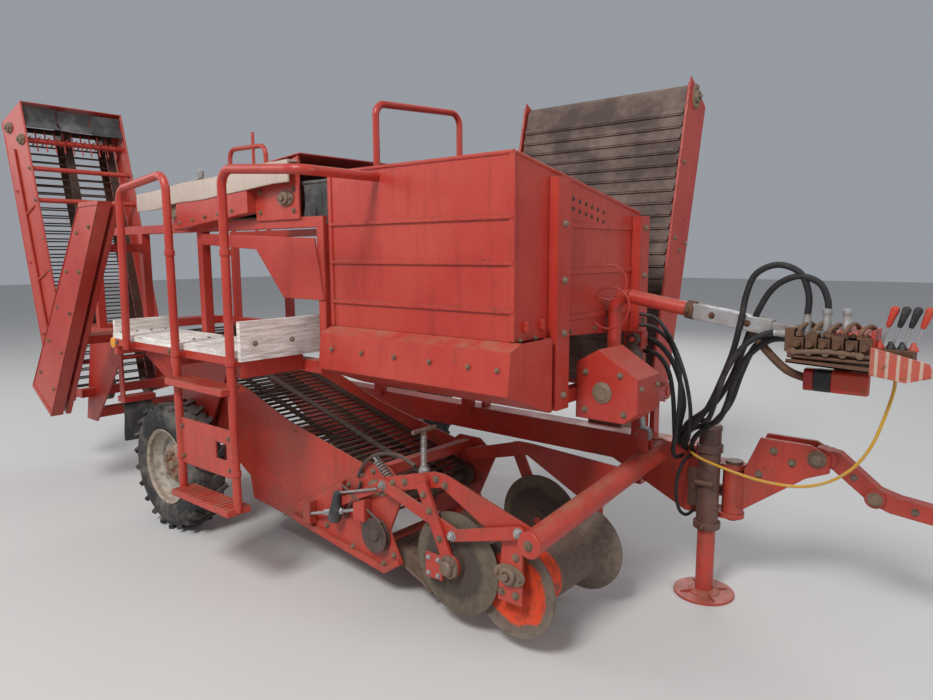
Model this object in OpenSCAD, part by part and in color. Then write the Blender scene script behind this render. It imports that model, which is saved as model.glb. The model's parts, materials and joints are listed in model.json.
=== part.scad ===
// Trailed one-row potato harvester with a side picking platform, a bunker at the front
// and a discharge elevator on its left. X forward, Y left, Z up, Z = 0 is the ground.

/* [Wheels] */
// Outer diameter of the tyres
tyre_od = 760; // [700:10:820]
// Width of the tyres
tyre_w = 210; // [170:5:240]
// Diameter over the rim flanges
rim_flange_d = 450; // [380:10:480]
// Distance of the right wheel's centre plane from the machine's centre line
right_wheel_y = 870; // [850:5:900]
// Distance of the left wheel's centre plane from the machine's centre line
left_wheel_y = 1130; // [1000:10:1150]
// Place of the axle along the machine
wheel_x = -750; // [-900:10:-600]
// Number of lugs around one shoulder of the tyre
lug_count = 22; // [16:1:28]
// Side of the square axle beam
axle_side = 80; // [60:5:100]

/* [Frame] */
// Height of the main beam's top above the ground
beam_top_z = 700; // [670:5:760]
// Height of the main beam's section
beam_h = 140; // [100:5:180]
// Width of the main beam's section
beam_w = 120; // [80:5:140]
// Wall thickness of folded sheet and plates
sheet_t = 6; // [4:1:10]
// Height of the upper side rails' top
rail_top_z = 1120; // [1080:10:1160]
// Side of the square upper rails
rail_side = 60; // [40:5:80]

/* [Main web] */
// Clear width between the web's two side walls
web_w = 650; // [500:10:680]
// Diameter of the web's rods
web_rod_d = 12; // [8:1:16]
// Distance from rod to rod
web_pitch = 48; // [40:1:80]
// Diameter of the web's drive and turning rollers
web_roller_d = 120; // [80:5:140]

/* [Digger] */
// Diameter of the coulter discs
coulter_d = 450; // [380:10:500]
// Distance between the two coulter discs
coulter_gap = 640; // [560:10:680]
// Diameter of the roller's end flanges
roller_flange_d = 400; // [340:10:440]
// Diameter of the roller at its waist
roller_waist_d = 240; // [160:10:300]
// Width of the roller over its flanges
roller_w = 560; // [460:10:600]
// Diameter of the cross tube that carries the roller
cross_tube_d = 100; // [80:5:120]

/* [Bunker] */
// Length of the bunker
bunker_l = 1044; // [800:10:1100]
// Width of the bunker
bunker_w = 1010; // [800:10:1060]
// Height of the bunker's panels
bunker_h = 695; // [500:5:800]
// Drop of the front panel's folds from right to left
front_fall = 180; // [0:10:220]

/* [Discharge elevator] */
// Length of the discharge elevator along its slope
elevator_l = 1690; // [1300:10:1800]
// Depth of its side plates
elevator_depth = 240; // [180:10:300]
// Lean of the elevator away from upright
elevator_lean = 12; // [0:1:30]
// Number of slats that show on the belt's inner run
slat_count = 13; // [8:1:18]

/* [Rear elevator] */
// Clear width between the rear elevator's side plates
rear_w = 730; // [600:10:760]
// Depth of the rear elevator's side plates
rear_depth = 420; // [300:10:460]
// Pitch of the rods of its web
rear_pitch = 62; // [50:2:90]

/* [Platform] */
// Height of the standing deck
deck_z = 1190; // [1150:5:1250]
// Length of the standing deck
deck_l = 1280; // [1000:10:1400]
// Width of the standing deck
deck_w = 340; // [280:5:345]
// Thickness of the planks
plank_t = 30; // [20:1:40]
// Diameter of the ladder's tubes
ladder_tube_d = 40; // [30:1:50]
// Distance between the ladder's rails
ladder_w = 485; // [400:5:520]

/* [Drawbar] */
// Diameter of the jack's outer tube
jack_tube_d = 100; // [80:5:120]
// Diameter of the jack's foot plate
jack_foot_d = 280; // [200:10:320]
// Bore of the hitch eye
hitch_bore_d = 50; // [40:1:60]
// Diameter of the PTO input shaft
pto_d = 35; // [30:1:45]

/* [Hidden] */
$fn = 48;

red = [0.72, 0.17, 0.10];
pale_red = [0.78, 0.36, 0.30];
dark = [0.12, 0.12, 0.12];
steel = [0.45, 0.42, 0.38];

spindle_d = 60;
axle_z = tyre_od / 2;

// Web: inner faces of the walls, pivot of the pick-up and front turning roller
web_right_y = -700;
web_left_y = web_right_y + web_w;
web_mid_y = (web_right_y + web_left_y) / 2;
pivot_x = -1360;
pivot_z = 1050;
pivot_pin_d = 50;

// Main beam
beam_y = 390;
beam_right_y = beam_y - beam_w / 2;
beam_left_y = beam_y + beam_w / 2;
beam_rear_x = -1500;
beam_front_x = 1960;
rail_right_y = -790;
rail_left_y = 275;
rail_rear_x = -2140;
rail_front_x = 560;

// Digger
disc_x = 1345;
disc_z = 315;
disc_mid_y = -440;
hub_half = 17;
coulter_spindle_d = 40;
roller_x = 1625;
roller_z = 275;
roller_mid_y = -450;
tube_right = [1757, -800, 526];
tube_left = [1820, 200, 690];
roller_plate_ys = [-770, -142];
// Lift cylinder: its pin on the frame and its rod's eye on the cross tube
lift_y = 60;
lift_top = [1735, 1230];
lift_foot = [1800, 790];
cyl_d = 60;
cyl_rod_d = 28;
cyl_pin_d = 24;
cyl_eye_w = 30;
open_eye_d = 50;

// Bunker: rear right lower corner of its panels
bunker_x = 630;
bunker_y = -800;
bunker_z = 1295;
bunker_front_x = bunker_x + bunker_l;
bunker_left_y = bunker_y + bunker_w;
trough_y = bunker_y + 206;
fold_zs = [115, 295, 465];
fold_proud = 14;

// Discharge elevator hinge
discharge_y = 385;
discharge_z = 880;
discharge_rear_x = 630;
discharge_pin = [120, 60];
discharge_hinge = [discharge_y + discharge_pin[0] * cos(elevator_lean) + discharge_pin[1] * sin(elevator_lean),
  discharge_z - discharge_pin[0] * sin(elevator_lean) + discharge_pin[1] * cos(elevator_lean)];
discharge_shaft_d = 50;

// Rear elevator: right side plate and its line
rear_right_y = -900;
rear_slope = atan2(2180, 560);
rear_foot = [-2170, 580];
rear_l = 2230;
rear_runs = [-360, -215];

// Sorting table: faces of its two side posts
table_right_y = -820;
table_left_y = 300;
table_roller = [-680, 1880];
table_shaft_d = 30;

// Jack and drawbar
jack_x = 2030;
jack_y = 280;
drawbar_hinge_x = 2110;
drawbar_pin_d = 50;
head_z = 370;
head_top_z = 610;
hinge_lug_d = 110;
hinge_lug_t = 24;
// Steering cylinder: lever arm on the drawbar and its length to the frame's pin
steer_arm = 140;
steer_l = 540;
steer_z = 440;
steer_x = drawbar_hinge_x - steer_l;
steer_y = beam_y + steer_arm;
lug_d = 70;
lug_t = 16;
lug_gap = 21;
// Gear housing and its input shaft on the beam's left side
gear_x = 1280;
pto_y = 540;
pto_z = 640;
pto_l = 120;
// How far a tube's straight stretch runs into its bend
run_in = 4;
// Clearances: radial in a running bore, between faces that only meet, between moving bodies
bore_clear = 0.09;
face_clear = 0.3;
body_clear = 6;

// Helpers
module bar(p, q, w, h) {
  // Square bar from p to q, w across and h high when it lies flat
  v = q - p;
  l = norm(v);
  translate(p) rotate([0, -asin(v[2] / l), atan2(v[1], v[0])])
    translate([0, -w / 2, -h / 2]) cube([l, w, h]);
}
module rod(p, q, d) {
  v = q - p;
  l = norm(v);
  translate(p) rotate([0, acos(v[2] / l), atan2(v[1], v[0])]) cylinder(d = d, h = l);
}
module side_plate(points, y, t) {
  // Plate cut in the X-Z plane, from y towards +Y
  translate([0, y + t, 0]) rotate([90, 0, 0]) linear_extrude(t) polygon(points);
}
module cross_plate(points, x, t) {
  // Plate cut in the Y-Z plane, from x towards +X
  translate([x, 0, 0]) rotate([90, 0, 90]) linear_extrude(t) polygon(points);
}
function unit(v) = v / norm(v);
function turn(a, b) = acos(max(-1, min(1, unit(a) * unit(b))));
module bend_arc(p, a, b, d, r) {
  // Round bend of a tube at corner p, coming along a and leaving along b
  ang = turn(a, b);
  c = p + unit(unit(b) - unit(a)) * r / cos(ang / 2);
  n = unit(cross(a, b));
  s = p - unit(a) * r * tan(ang / 2);
  e = unit(s - c);
  f = cross(n, e);
  multmatrix([[e[0], f[0], n[0], c[0]], [e[1], f[1], n[1], c[1]], [e[2], f[2], n[2], c[2]], [0, 0, 0, 1]])
    rotate_extrude(angle = ang) translate([r, 0]) circle(d = d + 1, $fn = 24);
}
module bent_tube(pts, d, r) {
  // Tube through the corners pts, with every inner corner bent to radius r
  last = len(pts) - 1;
  cut = [for (i = [0:last]) i == 0 || i == last ? 0
    : r * tan(turn(pts[i] - pts[i - 1], pts[i + 1] - pts[i]) / 2)];
  for (i = [0:last - 1]) {
    u = unit(pts[i + 1] - pts[i]);
    rod(pts[i] + u * max(0, cut[i] - run_in), pts[i + 1] - u * max(0, cut[i + 1] - run_in), d);
  }
  for (i = [1:1:last - 1]) bend_arc(pts[i], pts[i] - pts[i - 1], pts[i + 1] - pts[i], d, r);
}

// Wheels
module tyre() {
  rim_r = rim_flange_d / 2 - 12;
  od_r = tyre_od / 2 - 14;
  sh = tyre_w / 2;
  rotate([90, 0, 0]) rotate_extrude($fn = 72)
    polygon([[rim_r, -sh + 22], [rim_r + 30, -sh + 10], [rim_r + 80, -sh], [od_r - 40, -sh + 4],
      [od_r - 8, -sh + 22], [od_r, -sh + 50], [od_r, sh - 50], [od_r - 8, sh - 22],
      [od_r - 40, sh - 4], [rim_r + 80, sh], [rim_r + 30, sh - 10], [rim_r, sh - 22]]);
  // Lugs, low enough for their corners to end on the outer diameter
  lug_w = 28;
  lug_turn = 32;
  lug_reach = lug_w / 2 * cos(lug_turn) + tyre_w / 4 * sin(lug_turn);
  lug_r = sqrt(pow(tyre_od / 2, 2) - pow(lug_reach, 2));
  for (side = [-1, 1], i = [0:lug_count - 1])
    rotate([0, (i + (side > 0 ? 0.5 : 0)) * 360 / lug_count, 0])
      translate([0, side * tyre_w / 4, od_r - 12]) rotate([0, 0, side * lug_turn])
        translate([-lug_w / 2, -tyre_w / 4, 0]) cube([lug_w, tyre_w / 2 - 8, lug_r - od_r + 12]);
}
module rim(outer) {
  // outer is -1 for a wheel on the right, 1 on the left
  rim_r = rim_flange_d / 2;
  w = tyre_w / 2 - 22;
  t = 6;
  seat = rim_r - 12 - bore_clear;
  rotate([90, 0, 0]) rotate_extrude($fn = 72)
    polygon([[seat, -w], [rim_r, -w - 10], [rim_r - 4, -w - 14], [seat - t, -w - 2],
      [seat - t, -w + 20], [rim_r - 50, -20], [rim_r - 50, 20], [seat - t, w - 20],
      [seat - t, w + 2], [rim_r - 4, w + 14], [rim_r, w + 10], [seat, w],
      [seat, w - 20], [rim_r - 44, 22], [rim_r - 44, -22], [seat, -w + 20]]);
  rotate([-90 * outer, 0, 0]) difference() {
    rotate_extrude($fn = 72)
      polygon([[41, 46], [90, 40], [130, -6], [rim_r - 49, -6], [rim_r - 49, 0], [132, 0], [94, 46],
        [41, 52]]);
    for (i = [0:4]) rotate([0, 0, i * 72]) translate([70, 0, 30]) cylinder(d = 18, h = 30);
  }
}
module at_wheel(side) {
  translate([wheel_x, side < 0 ? -right_wheel_y : left_wheel_y, axle_z]) children();
}
module tyre_right() {
  color(dark) at_wheel(-1) tyre();
}
module tyre_left() {
  color(dark) at_wheel(1) tyre();
}
module rim_right() {
  color("silver") at_wheel(-1) rim(-1);
}
module rim_left() {
  color("silver") at_wheel(1) rim(1);
}

// Running gear and frame
module axle() {
  stub_l = 137;
  y0 = -right_wheel_y + stub_l;
  y1 = left_wheel_y - stub_l;
  color(red) {
    translate([wheel_x - axle_side / 2, y0, axle_z - axle_side / 2]) cube([axle_side, y1 - y0, axle_side]);
    for (side = [-1, 1]) translate([wheel_x, side < 0 ? y0 : y1, axle_z]) rotate([-90 * side, 0, 0]) {
      translate([0, 0, -5]) cylinder(d = spindle_d, h = stub_l + 50);
      translate([0, 0, stub_l - 20]) cylinder(d = 80, h = 66);
    }
    // Bracket up to the main beam
    translate([wheel_x - 60, beam_right_y, axle_z + axle_side / 2])
      cube([120, beam_w, beam_top_z - beam_h - axle_z - axle_side / 2]);
  }
}
module main_frame() {
  plate_y = web_right_y - 45;
  cross_x = bunker_front_x - 24;
  color(red) {
    bar([beam_rear_x, beam_y, beam_top_z - beam_h / 2], [beam_front_x, beam_y, beam_top_z - beam_h / 2],
      beam_w, beam_h);
    // Front head, deeper where the jack and the drawbar hinge on
    side_plate([[1500, beam_top_z], [beam_front_x, beam_top_z - 50], [beam_front_x, head_z],
      [1900, head_z], [1500, beam_top_z - beam_h]], beam_right_y, beam_w);
    for (y = [rail_right_y, rail_left_y])
      bar([rail_rear_x, y, rail_top_z - rail_side / 2], [rail_front_x, y, rail_top_z - rail_side / 2],
        rail_side, rail_side);
    // Pivot lugs and pins of the pick-up under both rails
    for (y = [rail_right_y, rail_left_y])
      translate([pivot_x - 45, y - rail_side / 2, pivot_z - 45]) cube([90, rail_side, 60]);
    translate([pivot_x, rail_right_y, pivot_z]) rotate([-90, 0, 0])
      cylinder(d = pivot_pin_d, h = web_right_y - rail_right_y - 1);
    translate([pivot_x, web_left_y + 1, pivot_z]) rotate([-90, 0, 0])
      cylinder(d = pivot_pin_d, h = rail_left_y - web_left_y - 1);
    // Right side plate beside the wheel, down to the axle
    difference() {
      side_plate([[wheel_x - 90, axle_z - 40], [wheel_x + 90, axle_z - 40], [wheel_x + 160, 620],
        [wheel_x + 420, rail_top_z - rail_side], [wheel_x - 420, rail_top_z - rail_side],
        [wheel_x - 160, 620]], plate_y, 12);
      translate([wheel_x, plate_y - 1, axle_z]) rotate([-90, 0, 0]) cylinder(d = spindle_d, h = 14);
    }
    // Ledge that ties the side plate to the right rail
    translate([wheel_x - 420, rail_right_y, rail_top_z - rail_side])
      cube([840, plate_y + 12 - rail_right_y, rail_side / 2]);
    // Uprights from the beam to the left rail
    for (x = [-1400, -300, 480])
      translate([x, rail_left_y + rail_side / 2, beam_top_z - 30]) cube([60, 60, rail_top_z - beam_top_z + 30]);
    // Cross members under the table and behind the web
    for (x = [rail_rear_x, rail_front_x - rail_side])
      translate([x, rail_right_y, rail_top_z - rail_side]) cube([rail_side, rail_left_y - rail_right_y, rail_side]);
    // Front upright and cross bar under the bunker's front panel
    bar([cross_x, beam_right_y - 5, beam_top_z - 20], [cross_x, beam_right_y - 5, 1060], 50, 70);
    bar([cross_x, -590, 1030], [cross_x, beam_right_y - 5, 1030], 50, 60);
    // Lugs that hold the discharge elevator's shaft
    for (x = [discharge_rear_x - 36, bunker_front_x + 12]) difference() {
      union() {
        translate([x, beam_y, discharge_hinge[1] - 30]) cube([24, discharge_hinge[0] - beam_y, 60]);
        translate([x, discharge_hinge[0], discharge_hinge[1]]) rotate([0, 90, 0]) cylinder(d = 90, h = 24);
        translate([x, beam_y - 30, beam_top_z - 10]) cube([24, 60, discharge_hinge[1] + 40 - beam_top_z]);
      }
      translate([x - 1, discharge_hinge[0], discharge_hinge[1]]) rotate([0, 90, 0])
        cylinder(d = discharge_shaft_d + 2 * bore_clear, h = 26);
    }
    // Plate, lugs and pin of the steering cylinder on the beam's left side
    translate([steer_x - lug_d / 2, beam_left_y, steer_z - lug_gap - lug_t]) cube([lug_d, 30, 155]);
    for (z = [steer_z - lug_gap - lug_t, steer_z + lug_gap]) {
      translate([steer_x - lug_d / 2, beam_left_y, z]) cube([lug_d, steer_y - beam_left_y, lug_t]);
      translate([steer_x, steer_y, z]) cylinder(d = lug_d, h = lug_t);
    }
    translate([steer_x, steer_y, steer_z - lug_gap]) cylinder(d = cyl_pin_d, h = 2 * lug_gap);
    // Lugs of the drawbar's hinge pin
    for (z = [head_z, head_top_z]) difference() {
      union() {
        translate([beam_front_x - 20, beam_y - hinge_lug_d / 2, z])
          cube([drawbar_hinge_x - beam_front_x + 20, hinge_lug_d, hinge_lug_t]);
        translate([drawbar_hinge_x, beam_y, z]) cylinder(d = hinge_lug_d, h = hinge_lug_t);
      }
      translate([drawbar_hinge_x, beam_y, z - 1]) cylinder(d = drawbar_pin_d + 2 * bore_clear, h = 26);
    }
    // Foot of the valve arm on the cross bar
    translate([cross_x, -120, 1000]) cube([100, 60, 60]);
  }
}
module rear_frame() {
  lean = 90 - rear_slope;
  inner_y = rear_right_y + 8;
  far_y = rear_right_y + rear_w - 8;
  color(red) {
    for (y = [rail_right_y, rail_left_y])
      side_plate([[-2250, 420], [-2080, 420], [-1500, rail_top_z - rail_side], [-2080, rail_top_z - rail_side]],
        y - 5, 10);
    bar([-2200, rail_right_y + 5, 460], [-2200, rail_left_y - 5, 460], 70, 70);
    // Gussets that carry the elevator's two side plates, and their cross bars
    for (z = [640, 1090]) {
      x = rear_foot[0] - (z - rear_foot[1]) * tan(lean);
      for (y = [inner_y, far_y - 8])
        side_plate([[x - 70, z - 30], [x + 130, z - 30], [x + 130, z + 30], [x - 90, z + 30]], y, 8);
      bar([x + 90, inner_y, z], [x + 90, rail_left_y - 5, z], 60, 60);
    }
  }
}

// Pick-up
module web_walls() {
  color(red) for (y = [web_right_y - sheet_t, web_left_y]) difference() {
    side_plate([[770, 608], [122, 745], [-253, 874], [pivot_x - 90, 1140], [pivot_x - 90, 960],
      [-700, 600], [-260, 362], [-235, 235], [167, 197], [760, 430]], y, sheet_t);
    translate([pivot_x, y - 1, pivot_z]) rotate([-90, 0, 0])
      cylinder(d = pivot_pin_d + 2 * bore_clear, h = sheet_t + 2);
  }
}
module web_rods() {
  // Rods of both runs between the front and rear rollers
  front = [820, 430];
  rear = [pivot_x, pivot_z];
  slope = atan2(rear[1] - front[1], front[0] - rear[0]);
  l = norm(rear - front);
  n = floor(l / web_pitch);
  r = web_roller_d / 2;
  color(dark) translate([rear[0], 0, rear[1]]) rotate([0, slope, 0]) {
    for (i = [0:n], s = [-1, 1])
      translate([i * l / n, web_right_y + 12, s * r]) rotate([-90, 0, 0])
        cylinder(d = web_rod_d, h = web_w - 24, $fn = 12);
    for (y = [web_right_y + 12, web_mid_y - 20, web_left_y - 52], s = [-1, 1])
      translate([0, y, s * r - 4]) cube([l, 40, 8]);
    for (x = [0, l]) translate([x, web_right_y + 1, 0]) rotate([-90, 0, 0]) cylinder(d = 50, h = web_w - 2);
    for (x = [0, l], y = [web_right_y + 12, web_mid_y - 20, web_left_y - 52])
      translate([x, y, 0]) rotate([-90, 0, 0]) cylinder(d = web_roller_d + 7, h = 40);
  }
}
module digger_plates() {
  color(red) {
    for (y = [web_right_y - sheet_t - 12, web_left_y + sheet_t])
      side_plate([[170, 300], [560, 500], [760, 640], [900, 640], [1010, 560], [900, 330], [980, 190],
        [880, 120], [640, 150], [170, 215]], y, 12);
    // Tie bars under the plates and the cross bar over them
    bar([820, web_right_y - sheet_t - 1, 600], [820, web_left_y + sheet_t + 1, 600], 50, 50);
    bar([795, web_right_y - sheet_t - 1, 221], [795, web_left_y + sheet_t + 1, 221], 50, 42);
  }
}
module share() {
  color(steel) for (s = [-1, 1])
    translate([0, web_mid_y, 0]) side_plate([[820, 215], [1080, 110], [1130, 75], [1130, 83], [1086, 122],
      [820, 227]], s > 0 ? 10 : -310, 300);
}
module roller_frame() {
  color(red) {
    rod(tube_right, tube_left, cross_tube_d);
    // Side bars from the digger to the tube and the roller
    for (y = roller_plate_ys) {
      t = tube_right + (tube_left - tube_right) * (y - tube_right[1]) / (tube_left[1] - tube_right[1]);
      side_plate([[880, 600], [1230, 700], [1300, 700], [t[0], t[2] + 40], [t[0], t[2] - 40],
        [1700, t[2] - 60], [1700, 240], [1580, 240], [1600, 480], [1280, 640], [900, 540]], y, 12);
    }
    // Spacers between the side bars and the digger's plates
    translate([930, roller_plate_ys[0] + 6, 580]) rotate([-90, 0, 0])
      cylinder(d = 60, h = web_right_y - sheet_t - 12 - roller_plate_ys[0] - 6);
    translate([930, roller_plate_ys[1] + 6, 580]) rotate([-90, 0, 0])
      cylinder(d = 60, h = web_left_y + sheet_t - roller_plate_ys[1] - 6);
    // Lug on the tube for the lift cylinder's rod
    for (y = [lift_y - cyl_eye_w / 2 - 6 - 10, lift_y + cyl_eye_w / 2 + 6])
      side_plate([[lift_foot[0] - 25, 700], [lift_foot[0] + 35, 700], [lift_foot[0] + 25, lift_foot[1] + 25],
        [lift_foot[0] - 25, lift_foot[1] + 25]], y, 10);
    translate([lift_foot[0], lift_y - cyl_eye_w / 2 - 16, lift_foot[1]]) rotate([-90, 0, 0])
      cylinder(d = cyl_pin_d, h = cyl_eye_w + 32);
  }
}
module coulter_forks() {
  t = 16;
  color(red) for (s = [-1, 1]) {
    y = disc_mid_y + s * (coulter_gap / 2 + hub_half + body_clear + t / 2);
    plate_face = s < 0 ? roller_plate_ys[0] : roller_plate_ys[1] + 12;
    bar([1180, y, 650], [disc_x, y, disc_z], t, 60);
    translate([disc_x, y, disc_z]) rotate([90, 0, 0]) cylinder(d = 100, h = t, center = true);
    // Spindle through the disc's hub
    translate([disc_x, y, disc_z]) rotate([90 * s, 0, 0]) cylinder(d = coulter_spindle_d, h = 2 * hub_half + body_clear + t / 2 + 4);
    // Seat on the digger's side bar
    translate([1180, min(y, plate_face), 650]) rotate([-90, 0, 0]) cylinder(d = 64, h = abs(y - plate_face));
  }
}
module coulter() {
  rotate([90, 0, 0]) difference() {
    union() {
      rotate_extrude($fn = 72) polygon([[0, -3], [90, -3], [coulter_d / 2, -10], [coulter_d / 2, -7],
        [90, 3], [0, 3]]);
      cylinder(d = 110, h = 2 * hub_half, center = true);
    }
    cylinder(d = coulter_spindle_d + 2 * bore_clear, h = 2 * hub_half + 2, center = true);
  }
}
module coulter_right() {
  color(steel) translate([disc_x, disc_mid_y - coulter_gap / 2, disc_z]) coulter();
}
module coulter_left() {
  color(steel) translate([disc_x, disc_mid_y + coulter_gap / 2, disc_z]) coulter();
}
module diabolo_roller() {
  h = roller_w / 2;
  stub_right = roller_mid_y - roller_plate_ys[0] - 12 - face_clear;
  stub_left = roller_plate_ys[1] - face_clear - roller_mid_y;
  color(steel) translate([roller_x, roller_mid_y, roller_z]) rotate([90, 0, 0]) {
    rotate_extrude($fn = 72)
      polygon([[0, -h + 40], [25, -h + 40], [roller_flange_d / 2 - 12, -h + 4],
        [roller_flange_d / 2, -h], [roller_flange_d / 2, -h + 12], [roller_waist_d / 2, -h + 120],
        [roller_waist_d / 2, h - 120], [roller_flange_d / 2, h - 12], [roller_flange_d / 2, h],
        [roller_flange_d / 2 - 12, h - 4], [25, h - 40], [0, h - 40]]);
    translate([0, 0, -stub_left]) cylinder(d = 50, h = stub_left + stub_right);
  }
}
module depth_spindle() {
  x = 1150;
  y = roller_plate_ys[0] + 12;
  color(steel) {
    translate([x - 20, y, 600]) cube([40, 36, 50]);
    rod([x, y + 18, 500], [x, y + 18, 860], 26);
    rod([x, y - 50, 866], [x, y + 90, 866], 20);
  }
}
module cylinder_barrel(l) {
  // Barrel whose eye is at the origin, along +X
  neck = 50;
  difference() {
    union() {
      rotate([90, 0, 0]) cylinder(d = cyl_d, h = cyl_eye_w, center = true);
      translate([0, -cyl_eye_w / 2, -cyl_eye_w / 2]) cube([neck, cyl_eye_w, cyl_eye_w]);
      translate([neck, 0, 0]) rotate([0, 90, 0]) cylinder(d = cyl_d, h = l - neck);
    }
    rotate([90, 0, 0]) cylinder(d = cyl_pin_d + 2 * bore_clear, h = cyl_d + 2, center = true);
    translate([neck + 12, 0, 0]) rotate([0, 90, 0]) cylinder(d = cyl_rod_d + 2 * face_clear, h = l);
  }
}
module cylinder_rod(from, l) {
  // Rod whose open eye is at distance l from the barrel's eye
  difference() {
    union() {
      translate([from, 0, 0]) rotate([0, 90, 0]) cylinder(d = cyl_rod_d, h = l - from - open_eye_d / 2);
      translate([l, 0, 0]) rotate([90, 0, 0]) cylinder(d = open_eye_d + 24, h = cyl_eye_w, center = true);
    }
    translate([l, 0, 0]) rotate([90, 0, 0]) cylinder(d = open_eye_d, h = cyl_eye_w + 2, center = true);
  }
}
lift_v = lift_foot - lift_top;
lift_l = norm(lift_v);
module at_lift() {
  translate([lift_top[0], lift_y, lift_top[1]]) rotate([0, -atan2(lift_v[1], lift_v[0]), 0]) children();
}
module lift_barrel() {
  color(dark) at_lift() cylinder_barrel(lift_l - 130);
}
module lift_rod() {
  color("silver") at_lift() cylinder_rod(lift_l - 270, lift_l);
}

// Bunker
function front_top(y) = bunker_z + bunker_h - front_fall * (y - bunker_y) / bunker_w;
module bunker() {
  t = sheet_t;
  color(red) {
    // Right, left and rear panels
    translate([bunker_x, bunker_y, bunker_z]) cube([bunker_l, t, bunker_h]);
    translate([bunker_x, bunker_left_y - t, bunker_z]) cube([bunker_l, t, bunker_h - front_fall]);
    translate([bunker_x, bunker_y, bunker_z]) cube([t, bunker_w, bunker_h - front_fall]);
    // Front panel with its falling top edge
    cross_plate([[bunker_y, bunker_z], [trough_y, bunker_z], [bunker_left_y, bunker_z - 40], [bunker_left_y, front_top(bunker_left_y)],
      [bunker_y, front_top(bunker_y)]], bunker_front_x - t, t);
    // Folds along the right panel
    for (z = fold_zs)
      side_plate([[bunker_x, bunker_z + z - 8], [bunker_front_x, bunker_z + z - 8],
        [bunker_front_x, bunker_z + z + 8], [bunker_x, bunker_z + z + 8]], bunker_y - fold_proud + t, fold_proud);
  }
}
module bunker_posts() {
  color(red) {
    for (y = [-570, 130]) translate([bunker_front_x + 1, y, 1000]) cube([45, 90, front_top(y) - 1030]);
    // Lug and pin of the lift cylinder on the left post
    translate([bunker_front_x + 1, lift_y + cyl_eye_w / 2 + face_clear, lift_top[1] - 35])
      cube([95, 130 - lift_y - cyl_eye_w / 2 - face_clear, 70]);
    translate([lift_top[0], lift_y - cyl_eye_w / 2 - 8, lift_top[1]]) rotate([-90, 0, 0])
      cylinder(d = cyl_pin_d, h = cyl_eye_w + 20);
  }
}
module bunker_floor() {
  // Trough of the moving floor, wider than the bunker above it, and the fixed floor beside it
  out = 90;
  t = sheet_t;
  inner_y = trough_y;
  outline = [[bunker_y, bunker_z], [bunker_y - out + 20, bunker_z - 25], [bunker_y - out, bunker_z - 190],
    [inner_y - 20, 1000], [inner_y, 1000], [inner_y, bunker_z]];
  hollow = [[bunker_y + t, bunker_z + 1], [bunker_y + t, bunker_z], [bunker_y - out + 26, bunker_z - 28],
    [bunker_y - out + 7, bunker_z - 187], [inner_y - 20, 1007], [inner_y - t, 1007], [inner_y - t, bunker_z + 1]];
  color(red) {
    difference() {
      cross_plate(outline, bunker_x, bunker_l + 40);
      cross_plate(hollow, bunker_x + t, bunker_l + 40 - 2 * t);
    }
    translate([bunker_x, inner_y, bunker_z - t]) cube([bunker_l - t, bunker_left_y - inner_y, t]);
  }
}
module bunker_rail() {
  z = bunker_z + bunker_h - front_fall;
  x = bunker_x + 3;
  color(red) bent_tube([[x, -500, z], [x, -500, 2340], [x, 120, 2380], [x, 120, z]], 34, 60);
}

// Discharge elevator
module at_discharge() {
  translate([discharge_rear_x, discharge_y, discharge_z]) rotate([-elevator_lean, 0, 0]) children();
}
module discharge_frame() {
  color(red) at_discharge() {
    for (x = [0, bunker_l - 8])
      translate([x, 0, 0]) rotate([90, 0, 90]) linear_extrude(8)
        polygon([[0, 0], [elevator_depth * 0.8, 0], [elevator_depth, elevator_l - 80], [20, elevator_l]]);
    translate([-40, discharge_pin[0], discharge_pin[1]]) rotate([0, 90, 0])
      cylinder(d = discharge_shaft_d, h = bunker_l + 80);
    translate([8, discharge_pin[0], 800]) rotate([0, 90, 0]) cylinder(d = 50, h = bunker_l - 16);
  }
}
module discharge_belt() {
  color([0.35, 0.26, 0.22]) at_discharge() {
    for (y = [30, 150]) translate([20, y, 60]) cube([bunker_l - 40, 8, elevator_l - 140]);
    translate([20, 94, elevator_l - 80]) rotate([0, 90, 0]) cylinder(d = 128, h = bunker_l - 40);
    translate([8, 94, elevator_l - 80]) rotate([0, 90, 0]) cylinder(d = 40, h = bunker_l - 16);
    for (i = [0:slat_count - 1])
      translate([24, 18, 700 + i * (elevator_l - 820) / slat_count]) cube([bunker_l - 48, 12, 20]);
  }
}

// Rear elevator
module rear_elevator() {
  color(red) at_rear() {
    for (y = [0, rear_w - 8]) translate([-rear_depth, y, 0]) cube([rear_depth, 8, rear_l]);
    for (p = [[-280, 300], [-30, 1500], [-30, 1740]]) translate([p[0], 8, p[1]]) rotate([-90, 0, 0])
      cylinder(d = 36, h = rear_w - 16);
    translate([-rear_depth, 0, rear_l]) cube([rear_depth, rear_w, sheet_t]);
  }
}
module at_rear() {
  // Frame of the rear elevator: X across its depth from the front edge, Z up its slope
  translate([rear_foot[0], rear_right_y, rear_foot[1]]) rotate([0, rear_slope - 90, 0]) children();
}
module rear_web() {
  n = floor((rear_l - 200) / rear_pitch);
  color(dark) at_rear() {
    for (i = [0:n], x = rear_runs)
      translate([x, 20, 60 + i * rear_pitch]) rotate([-90, 0, 0]) cylinder(d = 11, h = rear_w - 40, $fn = 12);
    for (x = rear_runs, y = [20, rear_w / 2 - 30, rear_w - 80])
      translate([x - 4, y, 40]) cube([8, 60, rear_l - 120]);
    for (z = [60, rear_l - 90]) translate([(rear_runs[0] + rear_runs[1]) / 2, 8 + face_clear, z]) rotate([-90, 0, 0]) {
      cylinder(d = 40, h = rear_w - 16 - 2 * face_clear);
      for (y = [20, rear_w / 2 - 30, rear_w - 80]) translate([0, 0, y - 8])
        cylinder(d = abs(rear_runs[1] - rear_runs[0]), h = 44);
    }
  }
}
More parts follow.
